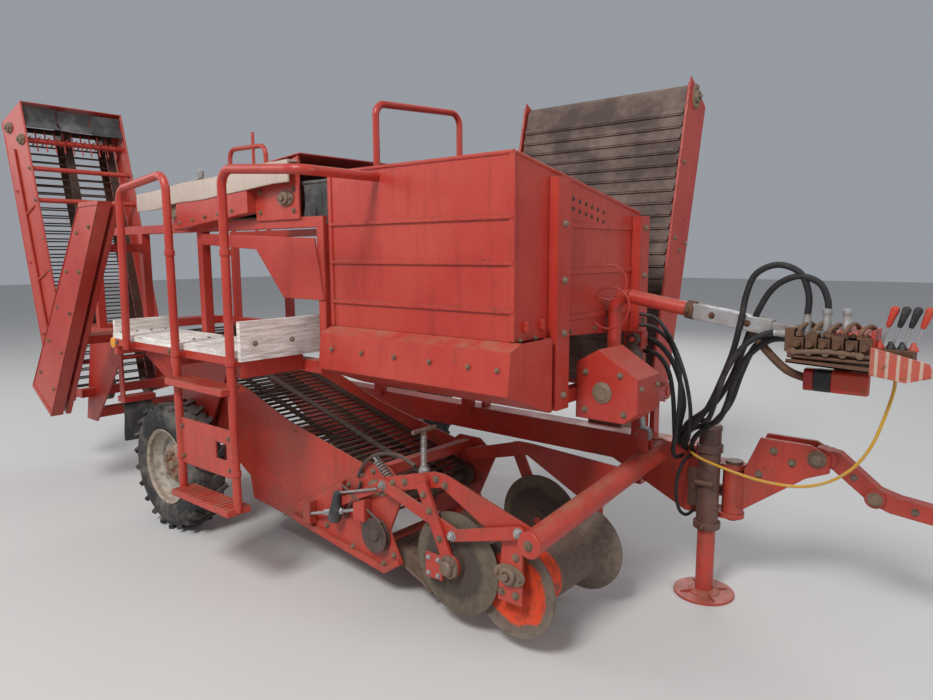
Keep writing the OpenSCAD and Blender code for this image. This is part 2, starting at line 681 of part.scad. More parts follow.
module tine_rotor() {
  color(red) at_rear() translate([-95, 8 + face_clear, 1980]) rotate([-90, 0, 0]) {
    cylinder(d = 40, h = rear_w - 16 - 2 * face_clear);
    for (i = [0:10], a = [0, 90, 180, 270])
      rotate([0, 0, a]) translate([0, 0, 26 + i * 64]) rotate([0, 90, 0]) cylinder(d = 10, h = 80, $fn = 12);
  }
}
module web_guard() {
  outline = [[-820, 1918], [-1080, 1920], [-2060, 744], [-1770, 576]];
  color(red) {
    side_plate(outline, -1200, 70);
    side_plate(outline, -1110, 30);
    // Brackets in to the rail and the table's post
    translate([-1700, -1135, 1065]) cube([250, 1135 + rail_right_y - rail_side / 2, 50]);
    translate([-1200, -1135, 1640]) cube([50, 1135 + table_right_y, 50]);
  }
}

// Sorting table
function sheet_z(x) = 2010 + (x + 500) * 80 / 950;
module table_panels() {
  sheet = [[-1050, 1920], [-500, 2010], [450, 2090], [450, 2096], [-500, 2016], [-1050, 1926]];
  color(pale_red) {
    side_plate([[-600, 1920], [100, 1980], [100, 1830], [-600, 1765]], table_right_y - 60, 60);
    side_plate([[100, 2000], [450, 2080], [450, 1790], [100, 1790]], table_right_y - 10, 10);
    side_plate([[-620, 1930], [450, 2080], [450, 1790], [-600, 1765]], table_left_y, 10);
    side_plate(sheet, table_right_y, table_left_y - table_right_y);
    // Bearing plate of the rear roller
    difference() {
      side_plate([[-740, 1770], [-600, 1770], [-600, 1930], [-740, 1930]], table_right_y - 10, 10);
      translate([table_roller[0], table_right_y - 11, table_roller[1]]) rotate([-90, 0, 0])
        cylinder(d = table_shaft_d + 2 * bore_clear, h = 12);
    }
    // Ribs under the sheet
    for (y = [table_right_y, table_left_y - 40]) {
      for (x = [-420, 200])
        side_plate([[x, 1800], [x + 40, 1800], [x + 40, sheet_z(x + 40)], [x, sheet_z(x)]], y, 40);
    }
  }
}
module table_drum() {
  color(dark) translate([350, table_right_y + face_clear, 1890]) rotate([-90, 0, 0]) {
    cylinder(d = 30, h = table_left_y - table_right_y - 2 * face_clear);
    translate([0, 0, 60]) cylinder(d = 150, h = table_left_y - table_right_y - 120);
  }
}
module table_sprocket() {
  color(steel) translate([table_roller[0], table_right_y - 40, table_roller[1]]) rotate([-90, 0, 0]) {
    cylinder(d = 90, h = 24);
    cylinder(d = table_shaft_d, h = table_left_y - table_right_y + 40 - face_clear);
    translate([0, 0, 100]) cylinder(d = 110, h = table_left_y - table_right_y - 120);
  }
}
module chutes() {
  t = 8;
  profile = [[-440, 1740], [550, 1700], [610, 1413], [300, 1413], [80, 1650], [-440, 1680]];
  color(red) {
    for (y = [table_right_y - t, table_left_y]) side_plate(profile, y, t);
    // Posts and rails that carry the table
    for (y = [table_right_y, table_left_y - 50]) {
      for (x = [-1900, -1200, -500, 560]) translate([x, y, rail_top_z]) cube([50, 50, 660]);
      translate([-1900, y, 1750]) cube([2510, 50, 50]);
    }
  }
}
module hand_loop() {
  color(red) {
    y = table_left_y - 25;
    bent_tube([[-1880, y, 1800], [-1880, y, 2440], [-1400, y, 2430], [-1400, y, 1800]], 34, 70);
    rod([-1560, y, 1800], [-1560, y, 2540], 24);
  }
}

// Platform
module platform_frame() {
  x0 = -850;
  y0 = -1165;
  h = deck_z - plank_t - rail_top_z;
  color(red) {
    for (y = [y0, y0 + deck_w - 40]) translate([x0, y, rail_top_z]) cube([deck_l, 40, h]);
    for (x = [x0, x0 + deck_l / 2, x0 + deck_l - 40]) translate([x, y0, rail_top_z]) cube([40, deck_w, h]);
    // Arms out from the right rail
    for (x = [x0, x0 + deck_l / 2, x0 + deck_l - 40])
      translate([x, y0, rail_top_z - 50]) cube([40, rail_right_y - rail_side / 2 - y0, 50]);
  }
}
module planks() {
  x0 = -850;
  n = 4;
  w = deck_w / n;
  color([0.62, 0.58, 0.52]) {
    for (i = [0:n - 1]) translate([x0, -1165 + i * w, deck_z - plank_t]) cube([deck_l, w - 6, plank_t]);
    translate([x0 + deck_l, -1180, deck_z - 40]) cube([25, 530, 180]);
    translate([x0 - 25, -1150, deck_z - 10]) cube([25, 350, 80]);
  }
}
module ladder() {
  y = -1205;
  front_x = 410;
  rear_x = front_x - ladder_w;
  d = ladder_tube_d;
  color(red) {
    bent_tube([[front_x, y, 450], [front_x, y, 1990], [950, y, 1950], [950, bunker_y, 1950]], d, 70);
    bent_tube([[rear_x, y, 450], [rear_x, y, 2010], [-560, y, 1960], [-600, y, deck_z - 70]], d, 70);
    // Seats on the platform's outer bar
    for (x = [front_x, rear_x, -600]) translate([x - 15, y, deck_z - 65]) cube([30, -1165 - y, 30]);
    for (z = [440, 1000]) translate([rear_x - 10, y - 60, z]) cube([ladder_w + 20, 120, 30]);
    difference() {
      translate([rear_x, y - 4, 600]) cube([ladder_w, 8, 230]);
      translate([rear_x + 330, y - 10, 680]) cube([90, 20, 80]);
    }
  }
}

// Drive, drawbar and jack
module gear_guard() {
  color(red) side_plate([[bunker_front_x + 1, 930], [bunker_front_x + 1, 1170], [1780, 1230], [1960, 1120], [1960, 980], [1900, 930]], -345, 205);
}
module gearbox() {
  y0 = beam_y + beam_w / 2;
  color(steel) {
    translate([gear_x, y0, pto_z - 90]) cube([200, 2 * (pto_y - y0), 180]);
    translate([gear_x + 200, pto_y, pto_z]) rotate([0, 90, 0]) cylinder(d = pto_d, h = pto_l);
  }
}
module jack_tube() {
  bore_d = jack_tube_d - 18 + 2 * face_clear;
  difference() {
    union() {
      color(dark) translate([jack_x, jack_y, 330]) cylinder(d = jack_tube_d, h = 480);
      // Bracket to the frame's head
      color(red) translate([1930, jack_y, 420]) cube([130, beam_right_y - jack_y, 180]);
    }
    translate([jack_x, jack_y, 320]) cylinder(d = bore_d, h = 480);
  }
}
module jack_leg() {
  color(red) translate([jack_x, jack_y, 0]) {
    cylinder(d = jack_foot_d, h = 10);
    cylinder(d = jack_tube_d - 18, h = 470);
  }
}
module drawbar() {
  z0 = head_z + hinge_lug_t + face_clear;
  z1 = head_top_z - face_clear;
  lever_z = steer_z - lug_gap - lug_t;
  cheek = 20;
  cheek_l = 2175;
  color(red) {
    difference() {
      union() {
        translate([drawbar_hinge_x, beam_y, z0]) cylinder(d = 100, h = z1 - z0);
        translate([drawbar_hinge_x, beam_y - 41, z0 + 40]) cube([cheek_l - drawbar_hinge_x + 5, 82, z1 - z0 - 60]);
        for (y = [beam_y - 60, beam_y + 60 - cheek])
          side_plate([[cheek_l, z0 + 40], [cheek_l, z1 + 20], [2240, 790], [2450, 790],
            [2530, 750], [2530, 680], [2440, 640]], y, cheek);
        side_plate([[cheek_l, z0 + 40], [cheek_l, z1 + 20], [2240, 770], [2380, 770],
          [2380, 620]], beam_y - 41, 82);
        // Lever of the steering cylinder
        translate([drawbar_hinge_x - lug_d / 2, beam_y, lever_z]) cube([lug_d, steer_arm, lug_t]);
        translate([drawbar_hinge_x, steer_y, lever_z]) cylinder(d = lug_d, h = lug_t);
        translate([drawbar_hinge_x, steer_y, lever_z]) cylinder(d = cyl_pin_d, h = lug_t + 2 * lug_gap);
      }
      translate([drawbar_hinge_x, beam_y, z0 - 1]) cylinder(d = drawbar_pin_d + 2 * bore_clear, h = z1 - z0 + 2);
    }
  }
}
module drawbar_pin() {
  top_z = head_top_z + hinge_lug_t;
  color(steel) translate([drawbar_hinge_x, beam_y, 0]) {
    translate([0, 0, head_z - 15]) cylinder(d = drawbar_pin_d, h = top_z - head_z + 20);
    translate([0, 0, top_z]) cylinder(d = 80, h = 12);
  }
}
module hitch_arm() {
  arm = [[2470, 780], [2560, 770], [2720, 640], [2790, 620], [3060, 590], [3060, 520], [2760, 550], [2690, 575],
    [2500, 720]];
  eye = [3110, beam_y, 535];
  color(red) difference() {
    union() {
      side_plate(arm, beam_y - 30, 60);
      for (p = [[2515, 735], [2705, 600]]) translate([p[0], beam_y - 40, p[1]]) rotate([-90, 0, 0])
        cylinder(d = 80, h = 80);
      translate(eye) cylinder(d = 130, h = 40);
    }
    translate(eye - [0, 0, 1]) cylinder(d = hitch_bore_d, h = 42);
    // Room for the pin and its washers above and below the eye
    for (z = [-60, 40]) translate(eye + [0, 0, z]) cylinder(d = 132, h = 60);
  }
}
module at_steer() {
  translate([drawbar_hinge_x, steer_y, steer_z]) rotate([0, 0, 180]) rotate([90, 0, 0]) children();
}
module steer_barrel() {
  color(dark) at_steer() cylinder_barrel(steer_l - 160);
}
module steer_rod() {
  color("silver") at_steer() cylinder_rod(steer_l - 250, steer_l);
}
module valve_arm() {
  x = bunker_front_x + 40;
  color(red) bent_tube([[x, -90, 1060], [x, -90, 1450], [2380, -90, 1340]], 60, 70);
  color("silver") valve_bar();
}
module valve_bar() {
  bar([2380, -90, 1340], [2700, -90, 1290], 40, 40);
}
module valve_bank() {
  color(steel) {
    difference() {
      translate([2600, -190, 1270]) cube([260, 180, 120]);
      valve_bar();
    }
    for (i = [0:3]) rod([2820, -170 + i * 45, 1380], [2870, -170 + i * 45, 1520], 14);
  }
}

main_frame();
axle();
rear_frame();
tyre_right();
rim_right();
tyre_left();
rim_left();
web_walls();
web_rods();
digger_plates();
share();
roller_frame();
coulter_forks();
coulter_right();
coulter_left();
diabolo_roller();
depth_spindle();
lift_barrel();
lift_rod();
bunker();
bunker_posts();
bunker_floor();
bunker_rail();
discharge_frame();
discharge_belt();
rear_elevator();
rear_web();
tine_rotor();
web_guard();
table_panels();
table_drum();
table_sprocket();
chutes();
hand_loop();
platform_frame();
planks();
ladder();
gear_guard();
gearbox();
drawbar();
drawbar_pin();
hitch_arm();
jack_tube();
jack_leg();
steer_barrel();
steer_rod();
valve_arm();
valve_bank();
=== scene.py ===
import json
import math

import bmesh
import bpy
from mathutils import Matrix, Vector


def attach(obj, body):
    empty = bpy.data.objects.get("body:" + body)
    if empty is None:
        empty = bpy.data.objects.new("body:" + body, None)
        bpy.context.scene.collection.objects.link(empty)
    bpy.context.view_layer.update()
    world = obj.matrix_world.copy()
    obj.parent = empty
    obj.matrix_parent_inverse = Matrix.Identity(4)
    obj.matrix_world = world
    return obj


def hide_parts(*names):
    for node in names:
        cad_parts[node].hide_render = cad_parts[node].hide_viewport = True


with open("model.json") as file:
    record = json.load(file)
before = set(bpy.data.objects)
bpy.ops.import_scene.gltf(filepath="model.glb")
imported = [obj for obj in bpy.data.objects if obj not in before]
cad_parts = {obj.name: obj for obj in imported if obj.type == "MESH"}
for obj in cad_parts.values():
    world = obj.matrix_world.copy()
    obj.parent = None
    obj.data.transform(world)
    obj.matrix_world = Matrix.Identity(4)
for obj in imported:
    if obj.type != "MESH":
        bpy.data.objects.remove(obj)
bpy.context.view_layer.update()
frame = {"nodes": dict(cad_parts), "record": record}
scene = bpy.context.scene
scene.view_settings.view_transform = "Standard"

# Camera: its place, its axes and its focal length were rebuilt from the photo's vanishing points
CAM_AT = Vector((3.2, -2.9, 1.63))
CAM_RIGHT = Vector((0.7678, 0.6407, -0.0042))
CAM_UP = Vector((-0.0852, 0.1085, 0.9904))
FOCAL_PIXELS = 700
PHOTO_WIDTH_PIXELS = 933
SENSOR_MM = 36


def make_camera():
    right = CAM_RIGHT.normalized()
    back = right.cross(CAM_UP).normalized()
    up = back.cross(right).normalized()
    data = bpy.data.cameras.new("camera")
    data.sensor_width = SENSOR_MM
    data.lens = SENSOR_MM * FOCAL_PIXELS / PHOTO_WIDTH_PIXELS
    data.clip_start = 0.05
    data.clip_end = 100
    cam = bpy.data.objects.new("camera", data)
    m = Matrix((right, up, back)).transposed().to_4x4()
    m.translation = CAM_AT
    cam.matrix_world = m
    scene.collection.objects.link(cam)
    scene.camera = cam


make_camera()


# Mesh building: how far fittings reach into the face that they sit on, and which edges count as sharp
SINK = 0.002
SHARP_ANGLE = math.radians(35)
BEVEL_ANGLE = math.radians(40)


def full_turn(count):
    """Angles spread evenly over one turn."""
    return [math.tau * k / count for k in range(count)]


def axes_of(axis):
    """The axis as a unit vector, and two more across it."""
    axis = Vector(axis).normalized()
    u = axis.orthogonal().normalized()
    return axis, u, axis.cross(u)


def scaled(size, profile):
    return [(s * size, r * size) for s, r in profile]


class Shape:
    """Closed forms gathered into one mesh, in metres."""

    def __init__(self):
        self.bm = bmesh.new()

    def row(self, points):
        return [self.bm.verts.new(p) for p in points]

    def band(self, a, b):
        """Faces between two closed rows of vertices."""
        for i in range(len(a)):
            j = (i + 1) % len(a)
            self.bm.faces.new((a[i], a[j], b[j], b[i]))

    def loft(self, rings):
        """A closed form through rings of as many points each."""
        rows = [self.row(ring) for ring in rings]
        for a, b in zip(rows, rows[1:]):
            self.band(a, b)
        self.bm.faces.new(list(reversed(rows[0])))
        self.bm.faces.new(rows[-1])

    def spun(self, at, axis, profile, sides=24):
        """Rings round an axis; profile is (along, radius) from the start to the end."""
        at = Vector(at)
        axis, u, v = axes_of(axis)
        self.loft([[at + axis * s + (u * math.cos(t) + v * math.sin(t)) * r for t in full_turn(sides)]
                   for s, r in profile])

    def rod(self, a, b, r, sides=14):
        """A round bar with chamfered ends."""
        a, b = Vector(a), Vector(b)
        far, cut = (b - a).length, r * 0.25
        self.spun(a, b - a, ((0, r - cut), (cut, r), (far - cut, r), (far, r - cut)), sides)

    def tube(self, path, r, sides=10):
        """A round bar along a path."""
        path = [Vector(p) for p in path]
        side = (path[1] - path[0]).normalized().orthogonal().normalized()
        rings = []
        for i, p in enumerate(path):
            ahead = (path[min(i + 1, len(path) - 1)] - path[max(i - 1, 0)]).normalized()
            side = (side - ahead * side.dot(ahead)).normalized()
            up = ahead.cross(side)
            rings.append([p + (side * math.cos(t) + up * math.sin(t)) * r for t in full_turn(sides)])
        self.loft(rings)

    def hoop(self, at, axis, section, sides=36):
        """An open ring round an axis; section is its closed outline as (along, radius)."""
        at = Vector(at)
        axis, u, v = axes_of(axis)
        rows = []
        for t in full_turn(sides):
            out = u * math.cos(t) + v * math.sin(t)
            rows.append(self.row([at + out * r + axis * s for s, r in section]))
        for k in range(sides):
            self.band(rows[k], rows[(k + 1) % sides])

    def ring(self, at, axis, big, small, sides=36, around=8):
        """A bent round wire of radius small, closed to a ring of radius big."""
        section = [(small * math.sin(t), big + small * math.cos(t)) for t in full_turn(around)]
        self.hoop(at, axis, section, sides)

    def slab(self, corners, offset):
        """A plate: its outline and the way and depth that it goes."""
        offset = Vector(offset)
        self.loft([corners, [Vector(c) + offset for c in corners]])

    def plate(self, y, outline, depth):
        """A slab whose outline is (x, z) at one y."""
        self.slab([(x, y, z) for x, z in outline], (0, depth, 0))

    def block(self, low, high):
        (a, b, c), (d, e, f) = low, high
        self.slab(((a, b, c), (d, b, c), (d, e, c), (a, e, c)), (0, 0, f - c))

    def edge(self, low, high, width, depth):
        """A round bead and a narrow flange along one edge."""
        wide = Vector((width, 0, 0))
        self.slab([low, high, high + wide, low + wide], (0, depth, 0))
        self.tube([low, (low + high) / 2, high], 0.007)

    def bolt(self, at, axis, size=0.012, stud=True):
        """A washer, a chamfered hexagon head and the end of its stud; size is the head's radius."""
        at, axis = Vector(at), Vector(axis).normalized()
        washer = size * 0.18
        self.spun(at - axis * SINK, axis, ((0, size * 1.3), (SINK + washer, size * 1.3)), 18)
        top = at + axis * washer
        self.spun(top, axis, scaled(size, ((0, 1), (0.62, 1), (0.78, 0.84))), 6)
        if stud:
            self.spun(top + axis * size * 0.78, axis, scaled(size, ((0, 0.5), (0.3, 0.5), (0.38, 0.42))), 12)

    def bolts(self, places, axis, size=0.012, stud=True):
        for at in places:
            self.bolt(at, axis, size, stud)

    def side_bolts(self, y, places, size=0.012, side=-1):
        """Bolts at (x, z) on a face at one y; side is -1 on the machine's right and 1 on its left."""
        self.bolts([(x, y, z) for x, z in places], (0, side, 0), size)

    def rivets(self, places, axis, size):
        profile = scaled(size, ((0, 1), (0.4, 0.9), (0.65, 0.5)))
        for at in places:
            self.spun(Vector(at) - Vector(axis) * SINK / 2, axis, profile, 10)

    def bearing(self, at, axis, size):
        """A housing on a plate: oval flange, domed ring, shaft end and two bolts."""
        at, axis = Vector(at), Vector(axis).normalized()
        u = Vector((1, 0, 0)) if abs(axis.x) < 0.5 else Vector((0, 0, 1))
        v = axis.cross(u)
        self.slab([at + u * math.cos(t) * size * 1.55 + v * math.sin(t) * size * 0.9 for t in full_turn(32)],
                  axis * size * 0.2)
        dome = ((0, 0.8), (0.35, 0.74), (0.45, 0.6), (0.45, 0.42), (0.32, 0.36))
        self.spun(at + axis * size * 0.15, axis, scaled(size, dome), 28)
        self.spun(at, axis, scaled(size, ((0, 0.3), (0.78, 0.3), (0.84, 0.24))), 18)
        for way in (-1, 1):
            self.bolt(at + u * way * size * 1.16 + axis * size * 0.18, axis, size * 0.22)

    def plain(self, name):
        """The piece itself, without body, slot or finish."""
        bmesh.ops.recalc_face_normals(self.bm, faces=self.bm.faces)
        mesh = bpy.data.meshes.new(name)
        self.bm.to_mesh(mesh)
        self.bm.free()
        mesh.shade_smooth()
        mesh.set_sharp_from_angle(angle=SHARP_ANGLE)
        piece = bpy.data.objects.new(name, mesh)
        scene.collection.objects.link(piece)
        return piece

    def done(self, name, slot, body="chassis", look=None, bevel=0):
        piece = self.plain(name)
        piece.data.materials.append(look or MATERIALS[slot])
        if bevel:
            round_off = piece.modifiers.new("edges", "BEVEL")
            round_off.width = bevel
            round_off.segments = 2
            round_off.limit_method = "ANGLE"
            round_off.angle_limit = BEVEL_ANGLE
        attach(piece, body)
        return piece


# Free hoses and the signal cable: name, diameter in metres, stiffness, and the route in millimetres
CORDS = (
    ("loop_hose", 0.024, "stiff", (
        (2516, -120, 1397), (2516, -120, 1472), (2484, -125, 1550), (2406, -130, 1580), (2330, -134, 1546),
        (2298, -136, 1468), (2282, -132, 1375), (2248, -108, 1240), (2190, -60, 1110), (2110, 20, 970),
        (2010, 130, 855), (1935, 215, 775), (1908, 262, 715), (1903, 312, 685))),
    ("inner_hose", 0.024, "stiff", (
        (2448, -48, 1325), (2372, -44, 1312), (2300, -22, 1245), (2240, 22, 1125), (2180, 85, 985),
        (2090, 155, 875), (1990, 215, 785), (1948, 262, 715), (1940, 312, 680))),
    ("rear_hose", 0.024, "stiff", (
        (1722, 165, 1225), (1795, 167, 1212), (1862, 178, 1145), (1900, 205, 1040), (1912, 240, 920),
        (1880, 275, 800), (1868, 300, 735), (1866, 318, 700))),
    ("signal_cable", 0.012, "medium", (
        (2800, -60, 1212), (2800, -60, 1140), (2775, -50, 1030), (2740, -38, 920), (2685, -22, 825),
        (2605, -5, 750), (2510, 8, 705), (2410, 25, 688), (2305, 52, 682), (2205, 88, 684), (2110, 128, 688),
        (2025, 180, 689), (1960, 245, 688), (1925, 315, 682))),
    ("outer_hose", 0.022, "stiff", (
        (2448, -132, 1325), (2385, -136, 1322), (2305, -150, 1270), (2235, -140, 1160), (2180, -85, 1030),
        (2120, 10, 925), (2060, 110, 885), (1985, 210, 850), (1905, 275, 790), (1840, 310, 715))),
    ("low_hose", 0.02, "stiff", (
        (1722, 150, 1290), (1795, 146, 1280), (1880, 138, 1215), (1930, 130, 1090), (1938, 125, 940),
        (1926, 122, 800), (1905, 150, 715), (1890, 220, 662), (1885, 312, 650))),
    ("thin_hose", 0.016, "medium", (
        (1925, 315, 655), (1922, 240, 640), (1918, 185, 580), (1922, 165, 500), (1932, 185, 420),
        (1945, 240, 382), (1950, 315, 385))),
    ("middle_hose", 0.024, "stiff", (
        (2448, -90, 1300), (2380, -93, 1290), (2300, -88, 1220), (2240, -55, 1110), (2190, 10, 990),
        (2130, 90, 900), (2045, 180, 850), (1950, 260, 800), (1880, 312, 725))),
    ("high_hose", 0.024, "stiff", (
        (2582, -120, 1398), (2582, -120, 1450), (2550, -122, 1515), (2475, -126, 1538), (2395, -124, 1496),
        (2335, -108, 1400), (2280, -70, 1265), (2215, -10, 1120), (2125, 80, 990), (2020, 190, 900),
        (1920, 268, 820), (1858, 314, 720))),
    ("post_hose", 0.022, "stiff", (
        (1722, 200, 1160), (1790, 204, 1145), (1838, 222, 1070), (1850, 255, 950), (1845, 292, 820),
        (1842, 316, 715))),
    ("web_hose", 0.018, "medium", (
        (1722, 150, 1340), (1810, 140, 1320), (1905, 105, 1220), (1975, 85, 1080), (2000, 100, 930),
        (1975, 160, 800), (1930, 245, 725), (1905, 312, 690))),
)


def smooth(route, steps=4):
    """Points in metres on the smooth curve through a route in millimetres."""
    pts = [Vector(p) / 1000 for p in route]
    last = len(pts) - 1
    line = []
    for i in range(last):
        a, b, c, d = pts[max(i - 1, 0)], pts[i], pts[i + 1], pts[min(i + 2, last)]
        for k in range(steps):
            t = k / steps
            line.append(0.5 * (2 * b + (c - a) * t + (2 * a - 5 * b + 4 * c - d) * t * t
                               + (3 * b - a - 3 * c + d) * t ** 3))
    line.append(pts[last])
    return line


def make_cords():
    made = []
    for name, diameter, stiffness, route in CORDS:
        line = smooth(route, 6)
        s = Shape()
        s.tube(line, diameter / 2, 16)
        piece = s.plain(name)
        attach(piece, "chassis")
        made.append(piece)
    return made


cords = make_cords()


# Node materials
class Nodes:
    """A short way to write one material's nodes."""

    def __init__(self, name):
        self.mat = bpy.data.materials.new(name)
        self.mat.use_nodes = True
        self.tree = self.mat.node_tree
        self.shader = self.tree.nodes["Principled BSDF"]
        self.coord = self.node("TexCoord").outputs["Object"]
        self.bevel = None

    def node(self, kind, *inputs):
        """A new node; inputs are pairs of a socket's name or number and its value or source."""
        made = self.tree.nodes.new("ShaderNode" + kind)
        self.fill(made, *inputs)
        return made

    def fill(self, node, *inputs):
        for name, value in inputs:
            if isinstance(value, bpy.types.NodeSocket):
                self.tree.links.new(value, node.inputs[name])
            else:
                node.inputs[name].default_value = value

    def noise(self, scale, detail=4, rough=0.6, stretch=(1, 1, 1)):
        place = self.node("Mapping", ("Scale", stretch), ("Vector", self.coord))
        return self.node("TexNoise", ("Scale", scale), ("Detail", detail), ("Roughness", rough),
                         ("Vector", place.outputs["Vector"])).outputs["Fac"]

    def bars(self, scale, distort):
        """Waves along X."""
        wave = self.node("TexWave", ("Scale", scale), ("Distortion", distort), ("Vector", self.coord))
        wave.bands_direction = "X"
        return wave.outputs["Fac"]

    def step(self, value, low, high):
        """0 where value is low and 1 where it is high."""
        ramp = self.node("MapRange", ("From Min", low), ("From Max", high), ("Value", value))
        return ramp.outputs["Result"]

    def math(self, op, a, b):
        m = self.node("Math", (0, a), (1, b))
        m.operation = op
        m.use_clamp = True
        return m.outputs[0]

    def times(self, a, b):
        return self.math("MULTIPLY", a, b)

    def between(self, mask, low, high):
        """Low where mask is 0 and high where it is 1."""
        return self.math("ADD", self.times(mask, high - low), low)

    def mix(self, fac, a, b):
        m = self.node("Mix")
        m.data_type = "RGBA"
        self.fill(m, (0, fac), (6, a), (7, b))
        return m.outputs[2]

    def normal(self):
        return self.node("NewGeometry").outputs["Normal"]

    def part_of(self, vector, axis):
        return self.node("SeparateXYZ", (0, vector)).outputs[axis]

    def reach(self, x, z):
        """Distance from an axle that lies along Y at x, z."""
        near = self.node("VectorMath")
        near.operation = "MULTIPLY_ADD"
        self.fill(near, (0, self.coord), (1, (1, 0, 1)), (2, (-x, 0, -z)))
        far = self.node("VectorMath", (0, near.outputs[0]))
        far.operation = "LENGTH"
        return far.outputs["Value"]

    def edges(self, radius):
        """1 along sharp edges, 0 on flat faces."""
        self.bevel = self.node("Bevel", ("Radius", radius))
        self.bevel.samples = 4
        dot = self.node("VectorMath", (0, self.bevel.outputs["Normal"]), (1, self.normal()))
        dot.operation = "DOT_PRODUCT"
        return self.step(dot.outputs["Value"], 0.995, 0.8)

    def bump(self, height, strength, distance):
        b = self.node("Bump", ("Strength", strength), ("Distance", distance), ("Height", height))
        if self.bevel:
            self.fill(b, ("Normal", self.bevel.outputs["Normal"]))
        self.fill(self.shader, ("Normal", b.outputs["Normal"]))

    def finish(self, colour, rough, metallic=0):
        self.fill(self.shader, ("Base Color", colour), ("Roughness", rough), ("Metallic", metallic))
        return self.mat


RUST_DARK = (0.055, 0.022, 0.012, 1)
RUST_WARM = (0.16, 0.065, 0.03, 1)
SOIL = (0.3, 0.19, 0.12, 1)
GRIME = (0.17, 0.075, 0.05, 1)
PAINT_LEFT = (0.72, 0.065, 0.015, 1)


def paint(name, base, faded, rust_at, edge_rust, dust=0.5, chalk=0.5):
    """Old enamel: faded patches, vertical streaks, rust in spots and along edges, dust on top faces."""
    n = Nodes(name)
    patch = n.step(n.noise(1.7), 0.4, 0.62)
    colour = n.mix(n.times(patch, chalk + 0.4), base, faded)
    streak = n.step(n.noise(3, 4, 0.6, (9, 9, 0.7)), 0.52, 0.78)
    dark = [c * 0.55 for c in base[:3]] + [1]
    colour = n.mix(n.times(streak, 0.5), colour, dark)
    wash = n.step(n.noise(9, 6, 0.7), 0.5, 0.72)
    pale = [min(1, c * 1.12 + 0.03) for c in faded[:3]] + [1]
    colour = n.mix(n.times(wash, 0.35 * chalk), colour, pale)
    low = n.step(n.part_of(n.coord, "Z"), 1.15, 0.35)
    mud = n.times(low, n.step(n.noise(5, 6, 0.7), 0.48, 0.66))
    colour = n.mix(n.times(mud, 0.55), colour, GRIME)
    grain = n.noise(55, 5, 0.7)
    dots = n.step(n.noise(26, 6, 0.7), rust_at, rust_at + 0.05)
    area = n.step(n.noise(2.3, 5, 0.65), 0.56, 0.66)
    spots = n.times(dots, n.math("ADD", area, 0.25))
    worn = n.times(n.times(n.edges(0.007), n.step(n.noise(18, 5, 0.7), 0.42, 0.62)), edge_rust)
    rust = n.math("MAXIMUM", spots, worn)
    colour = n.mix(rust, colour, n.mix(n.step(grain, 0.35, 0.65), RUST_DARK, RUST_WARM))
    top = n.step(n.part_of(n.normal(), "Z"), 0.55, 0.95)
    soil = n.times(n.times(top, n.step(n.noise(7, 5, 0.7), 0.38, 0.62)), dust)
    colour = n.mix(soil, colour, SOIL)
    n.bump(grain, 0.25, 0.0015)
    return n.finish(colour, n.between(n.math("MAXIMUM", rust, soil), 0.38, 0.88))


def worn_steel(name, bare, soil, soil_share, rust=(0.12, 0.05, 0.025, 1), metal=0.35):
    n = Nodes(name)
    grain = n.noise(38, 6, 0.7)
    colour = n.mix(n.step(grain, 0.35, 0.65), bare, rust)
    dirt = n.step(n.noise(4, 5, 0.65), 0.5 - soil_share * 0.3, 0.72 - soil_share * 0.3)
    colour = n.mix(dirt, colour, soil)
    n.bump(grain, 0.4, 0.002)
    return n.finish(colour, n.between(dirt, 0.45, 0.9), metal)


def turned(name, x, z, rings, paint_in=None):
    """Soil-worn steel about an axle: rings are (radius, colour) from the hub outwards.
    Paint is left on inside the radius and beyond the y of paint_in."""
    n = Nodes(name)
    grain = n.noise(30, 6, 0.7)
    far = n.math("ADD", n.reach(x, z), n.times(n.step(n.noise(9, 5, 0.7), 0.3, 0.7), 0.03))
    colour = rings[0][1]
    for low, high in zip(rings, rings[1:]):
        colour = n.mix(n.step(far, low[0], high[0]), colour, high[1])
    if paint_in:
        radius, y = paint_in
        inside = n.step(far, radius + 0.012, radius)
        side = n.step(n.part_of(n.coord, "Y"), y + 0.02, y)
        patches = n.step(n.noise(4, 5, 0.6), 0.4, 0.44)
        colour = n.mix(n.times(n.times(inside, side), patches), colour, PAINT_LEFT)
    colour = n.mix(n.times(n.step(grain, 0.45, 0.7), 0.6), colour, (0.07, 0.045, 0.032, 1))
    n.bump(grain, 0.5, 0.002)
    return n.finish(colour, n.between(grain, 0.55, 0.95), 0.15)


def rubber(name, base, dusty, share, gloss=0.7):
    n = Nodes(name)
    big = n.noise(6, 5, 0.65)
    fine = n.noise(90)
    colour = n.mix(n.step(big, 0.6 - share * 0.3, 0.85 - share * 0.3), base, dusty)
    colour = n.mix(n.times(n.step(n.part_of(n.normal(), "Z"), 0.5, 1), 0.5), colour, dusty)
    n.bump(fine, 0.2, 0.001)
    return n.finish(colour, n.between(fine, gloss, 0.95))


def plastic(name, base, worn, gloss=0.35):
    """Moulded plastic, faded and scuffed."""
    n = Nodes(name)
    colour = n.mix(n.step(n.noise(22, 5, 0.7), 0.5, 0.7), base, worn)
    colour = n.mix(n.times(n.edges(0.002), 0.6), colour, worn)
    fine = n.noise(120, 3)
    n.bump(fine, 0.15, 0.0006)
    return n.finish(colour, n.between(fine, gloss, gloss + 0.4))


